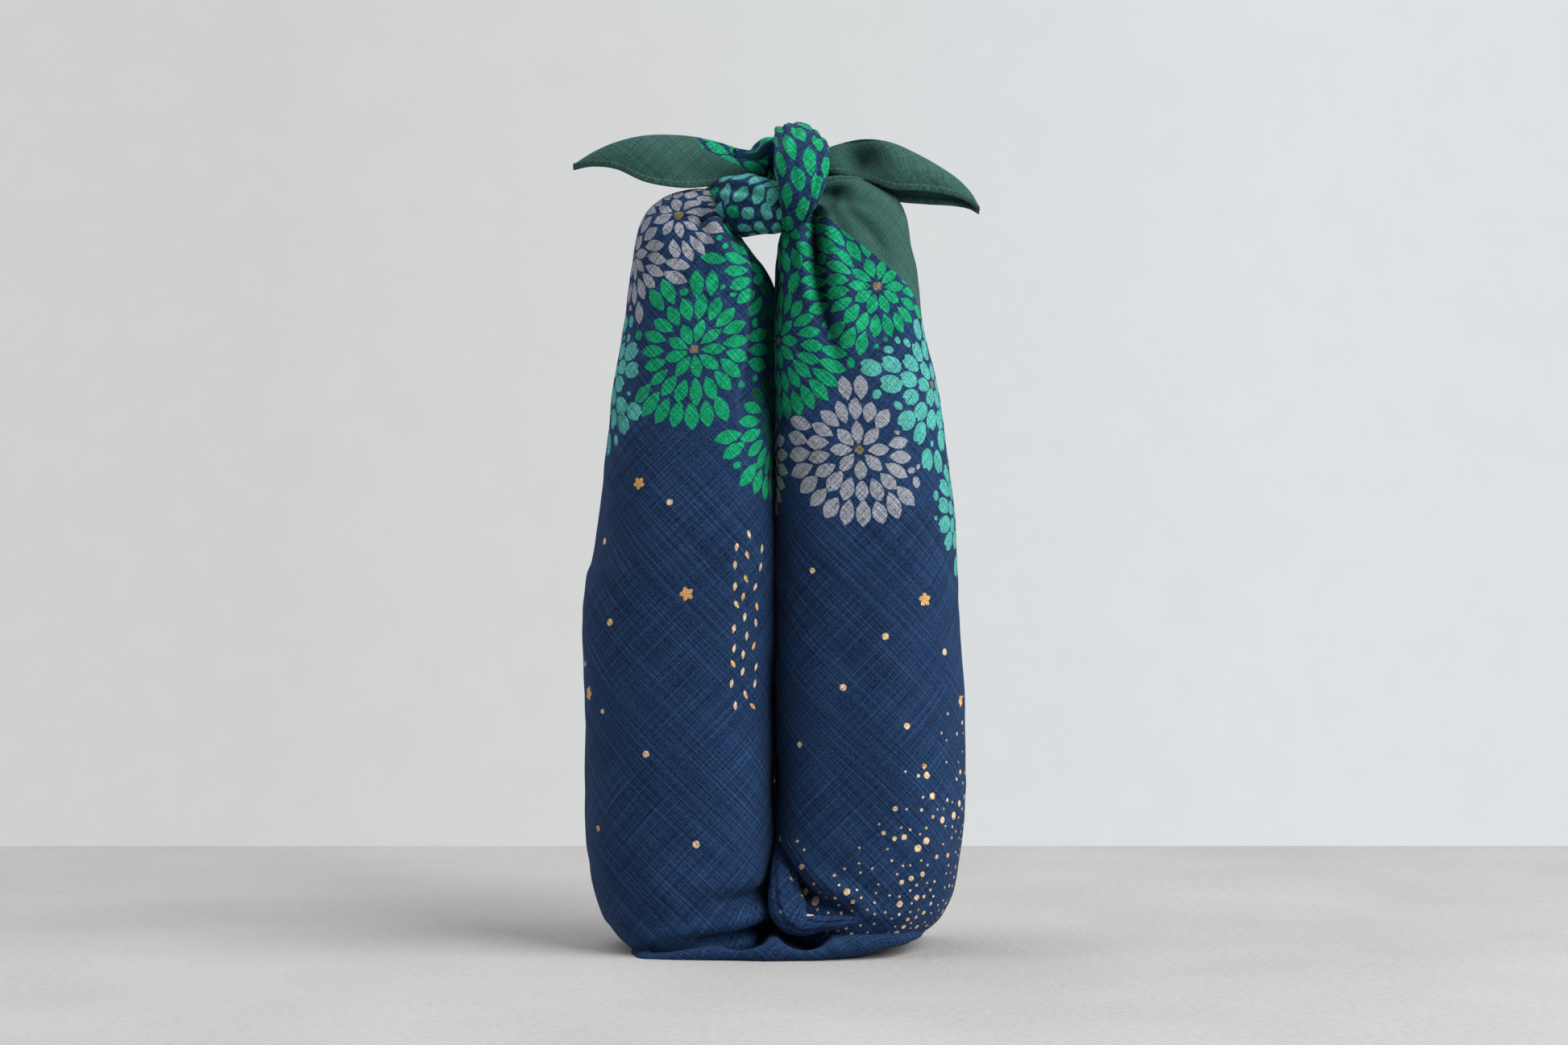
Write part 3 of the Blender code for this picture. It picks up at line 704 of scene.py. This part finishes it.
def cloth_object(name, points, u, v, band, motifs, material, closed=False):
    """A mesh of a grid of points in millimetres, with its cloth measures and its print.

    Each face joins four neighbours, and closed joins the last column to the first.
    """
    rows, columns = points.shape[:2]
    number = np.arange(rows * columns).reshape(rows, columns)
    if closed:
        number = np.concatenate([number, number[:, :1]], 1)
        u = np.concatenate([u, u[:, -1:] + (u[:, -1:] - u[:, -2:-1])], 1)
        v = np.concatenate([v, v[:, :1]], 1)
    faces = np.stack([number[:-1, :-1], number[:-1, 1:], number[1:, 1:], number[1:, :-1]], -1)
    measure = np.stack([u, v], -1)
    corners = np.stack(
        [measure[:-1, :-1], measure[:-1, 1:], measure[1:, 1:], measure[1:, :-1]], -2
    )
    faces = faces.reshape(-1, 4)
    corners = corners.reshape(-1, 4, 2)
    flat = points.reshape(-1, 3)
    first, second, third = (flat[faces[:, i]] for i in range(3))
    facing = np.cross(second - first, third - second)
    axis = np.repeat(points.mean(1), faces.shape[0] // (rows - 1), axis=0)[: len(faces)]
    if (facing * (first - axis)).sum() < 0:
        faces = faces[:, ::-1]
        corners = corners[:, ::-1]
    mesh = bpy.data.meshes.new(name)
    mesh.from_pydata((flat * MM).tolist(), [], faces.tolist())
    mesh.shade_smooth()
    place, form, ink = face_motifs(corners, motifs)
    for layer, values in (("cloth", corners * MM), ("motif", place), ("motif_form", form)):
        data = mesh.uv_layers.new(name=layer)
        data.uv.foreach_set("vector", values.astype(np.float32).ravel())
    colour = mesh.color_attributes.new("ink", "FLOAT_COLOR", "CORNER")
    ink = np.concatenate([ink, np.ones(ink.shape[:2] + (1,))], -1)
    colour.data.foreach_set("color", ink.astype(np.float32).ravel())
    border = mesh.attributes.new("border_mm", "FLOAT", "POINT")
    border.data.foreach_set("value", np.asarray(band, np.float32).ravel())
    mesh.materials.append(material)
    obj = bpy.data.objects.new(name, mesh)
    bpy.context.scene.collection.objects.link(obj)
    return obj


def printed_cotton(name, stitched=False):
    """Plain-weave slub cotton, printed on navy.

    The threads run at 45 degrees to the cloth measures. Noise drawn out along each set of threads
    gives the yarn's light and dark grain and its thick slubs, on the ground, the inks and the border.
    """
    material = bpy.data.materials.new(name)
    material.use_nodes = True
    material.node_tree.nodes.clear()
    start = Wire(material.node_tree)
    u, v, _ = start.node("ShaderNodeUVMap", {"uv_map": "cloth"}, {}).parts()
    warp = (u + v) * 707.1
    weft = (v - u) * 707.1

    def streaks(along, across, length, width, detail=1.0):
        """Noise stretched along a thread, in millimetres of thread."""
        at = start.node("ShaderNodeCombineXYZ", {}, {0: along / length, 1: across / width})
        return start.node(
            "ShaderNodeTexNoise",
            {"noise_dimensions": "2D"},
            {"Vector": at, "Scale": 1.0, "Detail": detail, "Roughness": 0.6},
        )

    grain = streaks(warp, weft, 1.5, 0.6) + streaks(weft, warp, 1.5, 0.6) - 1.0
    yarns = streaks(warp, weft, 55.0, 0.5) + streaks(weft, warp, 75.0, 0.54) - 1.0
    warp_slub = ((streaks(warp + 31.0, weft, 40.0, 0.6) - 0.59) * 8.0).clipped()
    weft_slub = ((streaks(weft + 57.0, warp, 55.0, 0.6) - 0.565) * 8.0).clipped()
    slub = warp_slub * 0.6 + weft_slub
    patches = streaks(warp, weft, 16.0, 12.0, 2.0) - 0.5
    # The weave: each thread rises over every second one that it crosses.
    pitch = 0.6
    over = start.maths("SINE", warp * (math.pi / pitch)) * start.maths(
        "SINE", weft * (math.pi / pitch)
    )
    s, t, _ = start.node("ShaderNodeUVMap", {"uv_map": "motif"}, {}).parts()
    form, half_width, _ = start.node("ShaderNodeUVMap", {"uv_map": "motif_form"}, {}).parts()
    beside = abs(t)
    pointed = (1.0 - s * s) * (1.02 + 0.14 * s) - beside
    notch = (1.0 - beside * 2.6).clipped() * (s * 1.8 - 0.6).clipped()
    reach = s + notch * 0.34
    notched = (1.0 - reach * reach - t * t) * 0.6
    dot = (1.0 - s * s - t * t) * 0.5
    radius = start.maths("SQRT", s * s + t * t)
    lobe = abs(start.maths("COSINE", start.maths("ARCTAN2", t, s) * 2.5))
    blossom = lobe * 0.42 + 0.58 - radius
    drawn = 0.0
    for number, shape in ((POINTED, pointed), (NOTCHED, notched), (DOT, dot), (BLOSSOM, blossom)):
        drawn = start.maths("COMPARE", form, float(number), 0.3) * shape + drawn
    drawn = drawn + grain * 0.05
    inked = (drawn * half_width / 0.3 + 0.5).clipped() * start.maths("GREATER_THAN", form, 0.5)
    band = start.node("ShaderNodeAttribute", {"attribute_name": "border_mm"}, {}, "Fac")
    bordered = (band / 0.35 + 0.5).clipped()
    ink = start.node("ShaderNodeAttribute", {"attribute_name": "ink"}, {}, "Color")
    colour = start.node("ShaderNodeMix", {"data_type": "RGBA"}, {0: inked, 6: NAVY, 7: ink}, 2)
    colour = start.node(
        "ShaderNodeMix", {"data_type": "RGBA"}, {0: bordered, 6: colour, 7: BORDER_GREEN}, 2
    )
    uneven = 1.0 - bordered * 0.6 - inked * 0.2
    light = yarns.clipped() * 1.3 + yarns * 1.0 + grain * 1.25 + slub * 0.4
    tone = 0.885 + light * uneven + patches * 0.12 + over * 0.14
    colour = start.node(
        "ShaderNodeVectorMath", {"operation": "SCALE"}, {0: colour, "Scale": tone}
    )
    lint = slub * 0.03 + yarns.clipped() * 0.10
    colour = start.node(
        "ShaderNodeMix",
        {"data_type": "RGBA"},
        {0: lint, 6: colour, 7: (0.20, 0.25, 0.33, 1.0)},
        2,
    )
    height = over * 0.04 + grain * 0.1 + yarns * 0.12 + slub * 0.08
    if stitched:
        along, across, _ = start.node("ShaderNodeUVMap", {"uv_map": "stitch"}, {}).parts()
        gap = abs(start.maths("FRACT", along * 1000.0 / 2.4) - 0.5)
        dash = ((0.32 - gap) * 8.0).clipped() * ((0.35 - abs(across * 1000.0)) * 6.0).clipped()
        colour = start.node(
            "ShaderNodeMix",
            {"data_type": "RGBA"},
            {0: dash * 0.6, 6: colour, 7: (0.10, 0.17, 0.15, 1.0)},
            2,
        )
        height = height - dash * 0.25
    relief = start.node("ShaderNodeBump", {}, {"Height": height, "Strength": 0.9, "Distance": MM})
    cotton = start.node(
        "ShaderNodeBsdfPrincipled",
        {},
        {
            "Base Color": colour,
            "Roughness": 0.9 - slub * 0.05,
            "Normal": relief,
            "Sheen Weight": 0.04,
            "Sheen Roughness": 0.5,
            "Sheen Tint": (0.6, 0.75, 1.0, 1.0),
            "Specular IOR Level": 0.12,
        },
    )
    start.node("ShaderNodeOutputMaterial", {}, {"Surface": cotton})
    return material


cotton = printed_cotton("printed_cotton")


def dress(piece):
    """Ties a piece of the cloth to the model: it rides with it and stands in for its solid."""
    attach(piece, "root")
    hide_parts("cloth")


left_points, left_u, left_v, left_band = sleeve(LEFT_RINGS, LEFT_BORDER, 3)
left_print = print_layout(LEFT_ROSETTES, 11, LEFT_SINGLES, None, (24.0, 104.0, 8.2, 9))
# The petals in the left panel's recess are recoloured deep green, which paints the recess's shade into the
# print.
left_print = [
    row[:6] + ("deep",) if row[0] > PANEL_PAINTED_SHADE[0] and row[1] > PANEL_PAINTED_SHADE[1] else row
    for row in left_print
]
sleeve_left = cloth_object(
    "sleeve_left", left_points, left_u, left_v, left_band, left_print, cotton
)
right_points, right_u, right_v, right_band = sleeve(RIGHT_RINGS, RIGHT_BORDER, 8)
right_print = print_layout(RIGHT_ROSETTES, 5, RIGHT_SINGLES, (32.0, 8.0, 38.0, 27.0), (0, 0, 1, 0))
sleeve_right = cloth_object(
    "sleeve_right", right_points, right_u, right_v, right_band, right_print, cotton
)


# The base fold: the middle of the cloth, bent under both bottles and pressed flat on the table.
# Its rolled front edge shows below the sleeves, with small tucks where the bottles pull it.
BASE_FOLD = (
    # x, front, back, underside, top
    (-60.0, 22.0, 20.0, -4.0, 1.0),
    (-56.0, 38.0, 28.0, -4.0, 3.0),
    (-48.0, 42.0, 34.0, -4.0, 5.0),
    (-36.0, 44.0, 39.0, -4.0, 7.0),
    (-20.0, 46.0, 42.0, -4.0, 9.2),
    (-4.0, 48.0, 43.5, -4.0, 10.4),
    (12.0, 48.0, 43.5, -4.0, 10.4),
    (28.0, 47.0, 42.5, -2.4, 12.8),
    (42.0, 44.0, 39.5, 0.4, 13.0),
    (53.0, 37.0, 34.0, 3.2, 12.0),
    (60.0, 25.0, 24.0, 5.2, 11.0),
    (63.0, 12.0, 12.0, 6.6, 10.0),
)
BASE_TUCKS = (
    # side, x and height of top, middle, foot, depth at top, middle, foot, spread
    (FRONT, -24.0, 9.4, -15.0, 8.8, -6.0, 9.6, 2.5, 8.5, 4.0, 2.6),
    (FRONT, -50.0, 4.0, -32.0, 7.0, -18.0, 9.6, 1.6, 3.6, 3.0, 1.7),
    (FRONT, 22.0, 12.6, 38.0, 12.8, 54.0, 12.0, 2.0, 3.2, 1.5, 1.6),
    (FRONT, 5.0, 9.6, 13.0, 8.8, 20.0, 10.0, 4.0, 9.0, 2.5, 2.6),
    (FRONT, 22.0, 12.0, 30.0, 8.0, 36.0, 4.0, 0.0, 1.0, 0.0, 3.0),
    (FRONT, -44.0, 5.0, -30.0, 5.5, -16.0, 7.0, 0.0, -0.8, 0.0, 3.0),
)
LAST_SPRAY = 26


def base_fold_points():
    """Rings along X: rounded slab sections whose halves are powers of cosine and sine of one turn."""
    rows = np.array(BASE_FOLD)
    stations = np.arange(len(rows))
    at = np.linspace(0.0, len(rows) - 1.0, 170)
    x, front, back, underside, top = (
        smooth_through(stations, rows[:, i], at)[:, None] for i in range(5)
    )
    turn = np.linspace(0.0, 2.0 * math.pi, 220, endpoint=False)[None, :]
    cosine, sine = np.cos(turn), np.sin(turn)
    y = np.where(cosine < 0, -front, back) * np.abs(cosine) ** 0.72
    z = (top + underside) / 2 + (top - underside) / 2 * signed_power(sine, 0.8)
    points = np.stack([x + 0 * y, y, z], -1)
    u = x + 0 * y
    v = run_lengths(points, 1)
    out = -fold_depth(points[..., 0], points[..., 2], FRONT, BASE_TUCKS) * (y < 0)
    out = out + ripples(u, v, 21, 14.0, 44.0, 0.45)
    ends = soft_step(at / 0.8)[:, None] * soft_step((len(rows) - 1.0 - at) / 0.8)[:, None]
    points = points + grid_normals(points) * (out * ends)[..., None]
    points[..., 2] = np.maximum(points[..., 2], 0.0)
    return points, u, v


base_points, base_u, base_v = base_fold_points()
random = np.random.default_rng(31)
base_print = [
    (
        random.uniform(8.0, 60.0),
        random.uniform(120.0, 150.0),
        0.0,
        0.5 + 0.8 * random.random() ** 2,
        0.5,
        DOT,
        "cream",
    )
    for _ in range(LAST_SPRAY)
]
base_fold = cloth_object(
    "base_fold", base_points, base_u, base_v, 0 * base_u - 50.0, base_print, cotton, closed=True
)
# Its two ends, hidden inside the sleeves, are closed.
ends = bmesh.new()
ends.from_mesh(base_fold.data)
bmesh.ops.holes_fill(ends, edges=[edge for edge in ends.edges if edge.is_boundary])
ends.to_mesh(base_fold.data)
ends.free()


# The fold's loose end is rolled under the right sleeve's corner, into a short tuck.
TUCK = (
    # x, y and height of the middle, half width, half thickness
    (2.6, -16.0, 48.0, 2.0, 2.0),
    (3.0, -24.0, 39.0, 4.2, 3.6),
    (3.8, -30.0, 31.0, 6.2, 4.6),
    (4.6, -33.0, 24.0, 7.4, 5.2),
    (6.4, -36.0, 18.0, 7.6, 5.2),
    (11.0, -38.4, 14.6, 5.6, 4.4),
    (18.0, -39.6, 14.4, 3.6, 3.6),
    (27.0, -39.6, 15.2, 2.6, 2.8),
    (37.0, -37.0, 16.0, 1.6, 1.8),
)
TUCK_PLEATS = ((60.0, 12.0, 0.8, 9.0), (125.0, -10.0, 0.7, 9.0))
TUCK_CENTRE = (4.0, 6.0, 26.0)
TUCK_DOTS = ((4.0, 24.0, 0.9), (8.0, 31.0, 0.6), (-3.0, 38.0, 0.7), (6.0, 42.0, 0.9))
STRAND_STEPS = 150
STRAND_AROUND = 150


def strand_points(table, pleats, seed, centre):
    """A strand's rings: an oval carried along a smooth line through the table's points.

    Its thin side faces away from the centre. A pleat is a narrow groove beside a lifted edge, at an
    angle that drifts along the strand. u and v are its lengths round and along, before it is pleated.
    """
    rows = np.array(table, float)
    stations = np.arange(len(rows))
    at = np.linspace(0.0, len(rows) - 1.0, STRAND_STEPS)
    line = np.stack([smooth_through(stations, rows[:, i], at) for i in range(3)], -1)
    width, thick = (smooth_through(stations, rows[:, i], at) for i in (3, 4))
    tangent = np.gradient(line, axis=0)
    tangent /= np.linalg.norm(tangent, axis=1)[:, None]
    out = line - np.array(centre)
    out -= (out * tangent).sum(1)[:, None] * tangent
    share = 26.0 / STRAND_STEPS
    for i in range(1, len(out)):
        carried = out[i - 1] - (out[i - 1] @ tangent[i]) * tangent[i]
        length = np.linalg.norm(carried)
        carried = carried / length if length > 1e-6 else carried
        out[i] = out[i] * 0.12 * share + carried * 6.0
        out[i] -= (out[i] @ tangent[i]) * tangent[i]
    out /= np.linalg.norm(out, axis=1)[:, None]
    side = np.cross(tangent, out)
    degrees = np.linspace(-100.0, 268.0, STRAND_AROUND)[None, :]
    turn = np.radians(degrees)
    run = np.linspace(0.0, 1.0, STRAND_STEPS)[:, None]
    lift = np.zeros((STRAND_STEPS, STRAND_AROUND))
    for angle, drift, depth, spread in pleats:
        off = (degrees - angle - drift * (2.0 * run - 1.0) + 180.0) % 360.0 - 180.0
        fade = 0.65 + 0.35 * np.sin(run * 9.0 + angle)
        lift -= depth * fade * np.exp(-((off / spread) ** 2))
        lift += 0.55 * depth * fade * np.exp(-(((off - 1.9 * spread) / (1.3 * spread)) ** 2))

    def oval(lifted):
        across = (width[:, None] + lifted) * np.cos(turn)
        outwards = (thick[:, None] + lifted) * np.sin(turn)
        return (
            line[:, None] + across[..., None] * side[:, None] + outwards[..., None] * out[:, None]
        )

    smooth, points = oval(0.0 * lift), oval(lift)
    u = run_lengths(smooth, 1)
    v = run_lengths(smooth, 0)
    u = u - u[:, STRAND_AROUND // 2 : STRAND_AROUND // 2 + 1]
    points = points + grid_normals(points) * ripples(u, v, seed, 6.0, 18.0, 0.35)[..., None]
    return points, u, v


points, u, v = strand_points(TUCK, TUCK_PLEATS, 71, TUCK_CENTRE)
dots = [(at, up, 0.0, half, half, DOT, "cream") for at, up, half in TUCK_DOTS]
base_tuck = cloth_object("base_tuck", points, u, v, 0 * u - 50.0, dots, cotton)
tuck_width = float((u[:, -1] - u[:, 0]).mean()) * MM
dress(base_tuck)


# The knot: the two drawn-up ends of the cloth, crossed and tied once more over the bottles.
# Each strand is the cloth gathered into lengthwise pleats, flattened where the other one presses it.
KNOT_CENTRE = (1.0, -1.0, 323.0)
STRANDS = {
    # name: rows of x, y, z, half width, half thickness
    "knot_left_front": (
        (-34.0, 8.0, 311.0, 4.0, 4.0),
        (-28.5, 5.0, 313.5, 7.6, 7.0),
        (-21.0, -2.0, 313.8, 11.4, 9.2),
        (-11.5, -9.6, 313.4, 13.8, 10.4),
        (0.0, -10.0, 312.4, 11.8, 9.4),
        (10.0, -1.0, 313.4, 10.0, 8.0),
        (15.0, 8.0, 320.0, 9.0, 7.0),
    ),
    "knot_left_back": (
        (11.0, 6.0, 316.0, 8.0, 6.5),
        (16.5, 12.0, 323.0, 9.5, 7.5),
        (11.5, 15.0, 331.0, 10.0, 8.0),
        (-2.0, 10.5, 335.4, 9.6, 7.8),
        (-10.0, 4.4, 331.6, 7.8, 5.0),
        (-19.0, 0.0, 331.5, 8.0, 3.6),
    ),
    "knot_right_back": (
        (40.0, 7.0, 306.0, 11.0, 10.0),
        (30.0, 7.0, 312.4, 10.6, 9.0),
        (17.0, 4.5, 313.4, 10.2, 9.0),
        (8.0, -3.0, 312.5, 9.0, 8.0),
        (5.0, -9.0, 314.0, 7.0, 5.0),
    ),
    "knot_right_front": (
        (7.0, -5.0, 300.0, 2.6, 2.6),
        (7.6, -12.0, 304.0, 3.8, 3.8),
        (8.4, -16.5, 309.0, 5.6, 5.8),
        (9.6, -19.4, 315.0, 8.2, 7.6),
        (10.8, -20.4, 321.5, 10.6, 8.8),
        (11.2, -19.4, 329.0, 12.2, 9.0),
        (11.2, -13.4, 336.4, 12.0, 8.6),
        (10.0, -4.0, 340.2, 11.0, 8.2),
        (13.0, 6.0, 338.0, 10.0, 8.0),
        (20.0, 9.5, 333.0, 8.0, 6.0),
        (27.0, 7.5, 331.5, 6.0, 3.0),
    ),
}
PLEATS = {
    # name: rows of degrees round the strand, how far it drifts along the strand, depth, spread in degrees
    "knot_left_front": (
        (18.0, 30.0, 2.0, 9.0),
        (50.0, 24.0, 1.6, 8.0),
        (82.0, 18.0, 2.2, 9.0),
        (112.0, -14.0, 1.5, 7.0),
        (140.0, -22.0, 2.1, 9.0),
        (200.0, 12.0, 1.6, 12.0),
        (285.0, -16.0, 1.6, 12.0),
    ),
    "knot_left_back": (
        (25.0, 16.0, 1.3, 10.0),
        (70.0, -12.0, 1.4, 10.0),
        (115.0, 14.0, 1.2, 9.0),
        (160.0, -10.0, 1.3, 10.0),
        (250.0, 10.0, 1.4, 12.0),
    ),
    "knot_right_back": (
        (40.0, 10.0, 1.4, 10.0),
        (95.0, -12.0, 1.2, 10.0),
        (150.0, 10.0, 1.4, 12.0),
        (230.0, 10.0, 1.4, 12.0),
        (310.0, -10.0, 1.4, 12.0),
    ),
    "knot_right_front": (
        (26.0, 12.0, 2.5, 7.0),
        (50.0, 16.0, 2.0, 6.0),
        (74.0, 10.0, 1.4, 6.0),
        (128.0, -8.0, 0.8, 8.0),
        (158.0, -12.0, 1.2, 8.0),
        (230.0, 10.0, 1.4, 12.0),
        (310.0, -10.0, 1.4, 12.0),
    ),
}
def strand_print(ink, form, length, width, lean, seed, second="green"):
    """Staggered rows of petals that lie along the strand, leaning a little."""
    random = np.random.default_rng(seed)
    cosine, sine = math.cos(lean), math.sin(lean)
    motifs = []
    for row in range(-14, 15):
        for place in range(-7, 18):
            across = row * 2.36 * width + random.normal() * 0.3
            along = (place + 0.5 * (row % 2)) * 2.16 * length + random.normal() * 0.6
            motifs.append(
                (
                    across * cosine - along * sine,
                    across * sine + along * cosine,
                    math.pi / 2 + lean + random.normal() * 0.16,
                    length * random.uniform(0.8, 1.1),
                    width * random.uniform(0.9, 1.05),
                    form,
                    second if random.random() < 0.12 else ink,
                )
            )
    return motifs


STRAND_PRINTS = {
    "knot_left_front": ("teal", POINTED, 5.2, 2.3, -0.85, 41, "green"),
    "knot_left_back": ("green", POINTED, 4.7, 2.6, 0.3, 42, "deep"),
    "knot_right_back": ("green", POINTED, 5.4, 2.6, 0.3, 43, "green"),
    "knot_right_front": ("green", POINTED, 6.6, 2.9, -0.35, 44, "green"),
}
strand_sizes = {}
for number, (name, table) in enumerate(STRANDS.items()):
    points, u, v = strand_points(table, PLEATS[name], 50 + number, KNOT_CENTRE)
    piece = cloth_object(
        name, points, u, v, 0 * u - 50.0, strand_print(*STRAND_PRINTS[name]), cotton
    )
    width = float((u[:, -1] - u[:, 0]).mean()) * MM
    dress(piece)


# The two free corners of the cloth, which stand out from the knot like ears. Each is folded once
# over its own middle, so a front and a back flap hang from a ridge, with the rolled hem at their edges.
LEFT_EAR = (
    # x, y, z of the ridge, front flap, back flap, spread of the flaps at their edges
    (-3.0, 4.0, 335.6, 9.0, 8.0, 5.0),
    (-14.0, 1.0, 337.8, 13.5, 10.5, 5.5),
    (-27.5, -3.0, 341.4, 19.5, 15.5, 5.5),
    (-40.0, -6.5, 342.9, 22.0, 17.5, 5.0),
    (-54.5, -8.5, 342.6, 19.5, 16.0, 4.2),
    (-66.5, -8.0, 340.0, 11.5, 9.5, 3.4),
    (-76.5, -6.0, 336.0, 6.0, 5.0, 2.4),
    (-85.2, -3.0, 331.0, 2.0, 1.8, 1.2),
)
RIGHT_EAR = (
    # x, y, z of the ridge, front flap, back flap, spread of the flaps at their edges
    (18.0, 4.0, 337.0, 9.0, 8.0, 5.0),
    (29.5, 0.0, 340.8, 14.0, 12.0, 6.0),
    (39.5, -3.5, 341.8, 18.0, 17.0, 6.5),
    (50.0, -6.0, 339.6, 19.5, 23.0, 6.0),
    (63.5, -6.5, 333.2, 13.8, 18.5, 5.0),
    (75.5, -4.5, 326.0, 8.5, 12.0, 4.0),
    (82.4, -2.0, 319.8, 5.0, 6.8, 2.6),
    (86.6, 0.0, 313.4, 2.2, 2.6, 1.2),
)
EAR_STEPS = 110
EAR_ACROSS = 81
EAR_THICK = 0.7
HEM_WIDE = 3.2
HEM_THICK = 1.3


def ear_points(table, dents, seed):
    """A folded corner: from the front flap's edge up to the ridge and down to the back flap's edge.

    A flap's drop is its length times |across| to the power 1.25. Its belly is the sine of |across|.
    A dent is a place on the front flap, its depth and its spread.
    """
    rows = np.array(table, float)
    stations = np.arange(len(rows))
    at = np.linspace(0.0, len(rows) - 1.0, EAR_STEPS)
    x, y, z, front, back, spread = (
        smooth_through(stations, rows[:, i], at)[:, None] for i in range(6)
    )
    across = np.linspace(-1.0, 1.0, EAR_ACROSS)[None, :]
    flap = np.where(across < 0, front, back)
    hang = np.abs(across) ** 1.25
    belly = np.sin(np.abs(across) * math.pi * 0.72)
    points = np.stack([x + 0 * across, y + np.sign(across) * spread * belly, z - flap * hang], -1)
    for dent_x, dent_z, depth, wide, high in dents:
        away = ((points[..., 0] - dent_x) / wide) ** 2 + ((points[..., 2] - dent_z) / high) ** 2
        points[..., 1] += depth * np.exp(-away) * (across < 0)
    u = run_lengths(points, 0)
    v = run_lengths(points, 1)
    v = v - v[:, EAR_ACROSS // 2 : EAR_ACROSS // 2 + 1]
    wave = ripples(u, v, seed, 14.0, 46.0, 0.7) * np.abs(across) ** 0.5
    points[..., 1] += wave
    return points, u, v


def hem_points(edge, inner):
    """A flattened tube carried along a flap's edge, with its width towards the flap's inner side."""
    inwards = inner - edge
    inwards /= np.maximum(np.linalg.norm(inwards, axis=1, keepdims=True), 1e-6)
    along = np.gradient(edge, axis=0)
    along /= np.linalg.norm(along, axis=1, keepdims=True)
    face = np.cross(along, inwards)
    face /= np.maximum(np.linalg.norm(face, axis=1, keepdims=True), 1e-6)
    turn = np.linspace(0.0, 2.0 * math.pi, 16, endpoint=False)[None, :, None]
    wide = HEM_WIDE / 2 * signed_power(np.cos(turn), 0.7)
    thick = HEM_THICK / 2 * signed_power(np.sin(turn), 0.8)
    middle = edge + inwards * HEM_WIDE * 0.42
    points = middle[:, None] + wide * inwards[:, None] + thick * face[:, None]
    run = run_lengths(edge[:, None], 0)
    u = run + 0 * turn[..., 0]
    v = HEM_WIDE * (np.cos(turn[..., 0]) + 1.0) / 2 + 0 * u
    return points, u, v


hem_cotton = printed_cotton("hemmed_cotton", stitched=True)


def hem_object(name, edge, inner):
    """The rolled hem as a piece: its row of stitches lies near the hem's inner side."""
    points, u, v = hem_points(edge, inner)
    hem = cloth_object(name, points, u, v, 0 * u + 20.0, [], hem_cotton, closed=True)
    measure = np.zeros(len(hem.data.loops) * 2, np.float32)
    hem.data.uv_layers["cloth"].uv.foreach_get("vector", measure)
    measure = measure.reshape(-1, 2)
    measure[:, 1] -= HEM_WIDE * 0.8 * MM
    stitch = hem.data.uv_layers.new(name="stitch")
    stitch.uv.foreach_set("vector", measure.ravel())
    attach(hem, "root")
    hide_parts("cloth")
    return hem


def ear(name, table, dents, seed, print_line, motifs):
    """An ear with its two hems. Print shows above print_line: x and z of its ends, on the front flap."""
    points, u, v = ear_points(table, dents, seed)
    band = 0 * u + 50.0
    if print_line:
        ax, az, bx, bz, far = print_line
        rise = (points[..., 2] - az) - (points[..., 0] - ax) * (bz - az) / (bx - ax)
        reach = (points[..., 0] - far) * 0.8 + (points[..., 2] - 342.0) * 0.4
        front = np.linspace(-1.0, 1.0, EAR_ACROSS)[None, :] <= 0.35
        band = np.where(front, -np.minimum(rise, reach), 50.0)
    piece = cloth_object(name, points, u, v, band, motifs, cotton)
    wall = piece.modifiers.new("wall", "SOLIDIFY")
    wall.thickness = EAR_THICK * MM
    wall.offset = 0.0
    hems = [
        hem_object(f"{name}_front_hem", points[4:, 0], points[4:, 6]),
        hem_object(f"{name}_back_hem", points[4:, -1], points[4:, -7]),
    ]
    across = float((v[:, -1] - v[:, 0]).mean()) * MM
    dress(piece)
    return piece


ear_petals = [
    (2.0 + 10.4 * (i % 5) + 4.0 * (i // 5 % 2), -14.0 + 5.0 * (i // 5), 0.25, 5.2, 2.5, POINTED, "green")
    for i in range(35)
]
ear(
    "ear_left",
    LEFT_EAR,
    ((-30.0, 326.0, 2.0, 12.0, 7.0),),
    61,
    (-29.2, 336.8, -11.9, 329.0, -33.0),
    ear_petals,
)
ear("ear_right", RIGHT_EAR, ((37.0, 332.5, 10.0, 8.0, 6.5),), 62, None, [])


def free_edge(points, u, v, border):
    """The line on a sleeve where the cloth's free edge lies, and the line of the hem's inner side."""
    lines = []
    for below in (0.0, 4.0):
        wanted = (v - border[0] - BORDER_WIDTH + below) / border[1]
        off = wanted - u
        cross = (off[:, :-1] * off[:, 1:]) <= 0
        rows = np.nonzero(cross.any(1))[0]
        column = cross[rows].argmax(1)
        share = off[rows, column] / (off[rows, column] - off[rows, column + 1] + 1e-9)
        first, second = points[rows, column], points[rows, column + 1]
        lines.append((rows, first + (second - first) * share[:, None]))
    common = np.intersect1d(lines[0][0], lines[1][0])
    return [line[np.isin(rows, common)] for rows, line in lines]


left_edge = free_edge(left_points, left_u, left_v, LEFT_BORDER)
right_edge = free_edge(right_points, right_u, right_v, RIGHT_BORDER)
left_hem = hem_object("sleeve_left_hem", left_edge[0], left_edge[1])
right_hem = hem_object("sleeve_right_hem", right_edge[0], right_edge[1])
dress(sleeve_left)
dress(sleeve_right)
dress(base_fold)
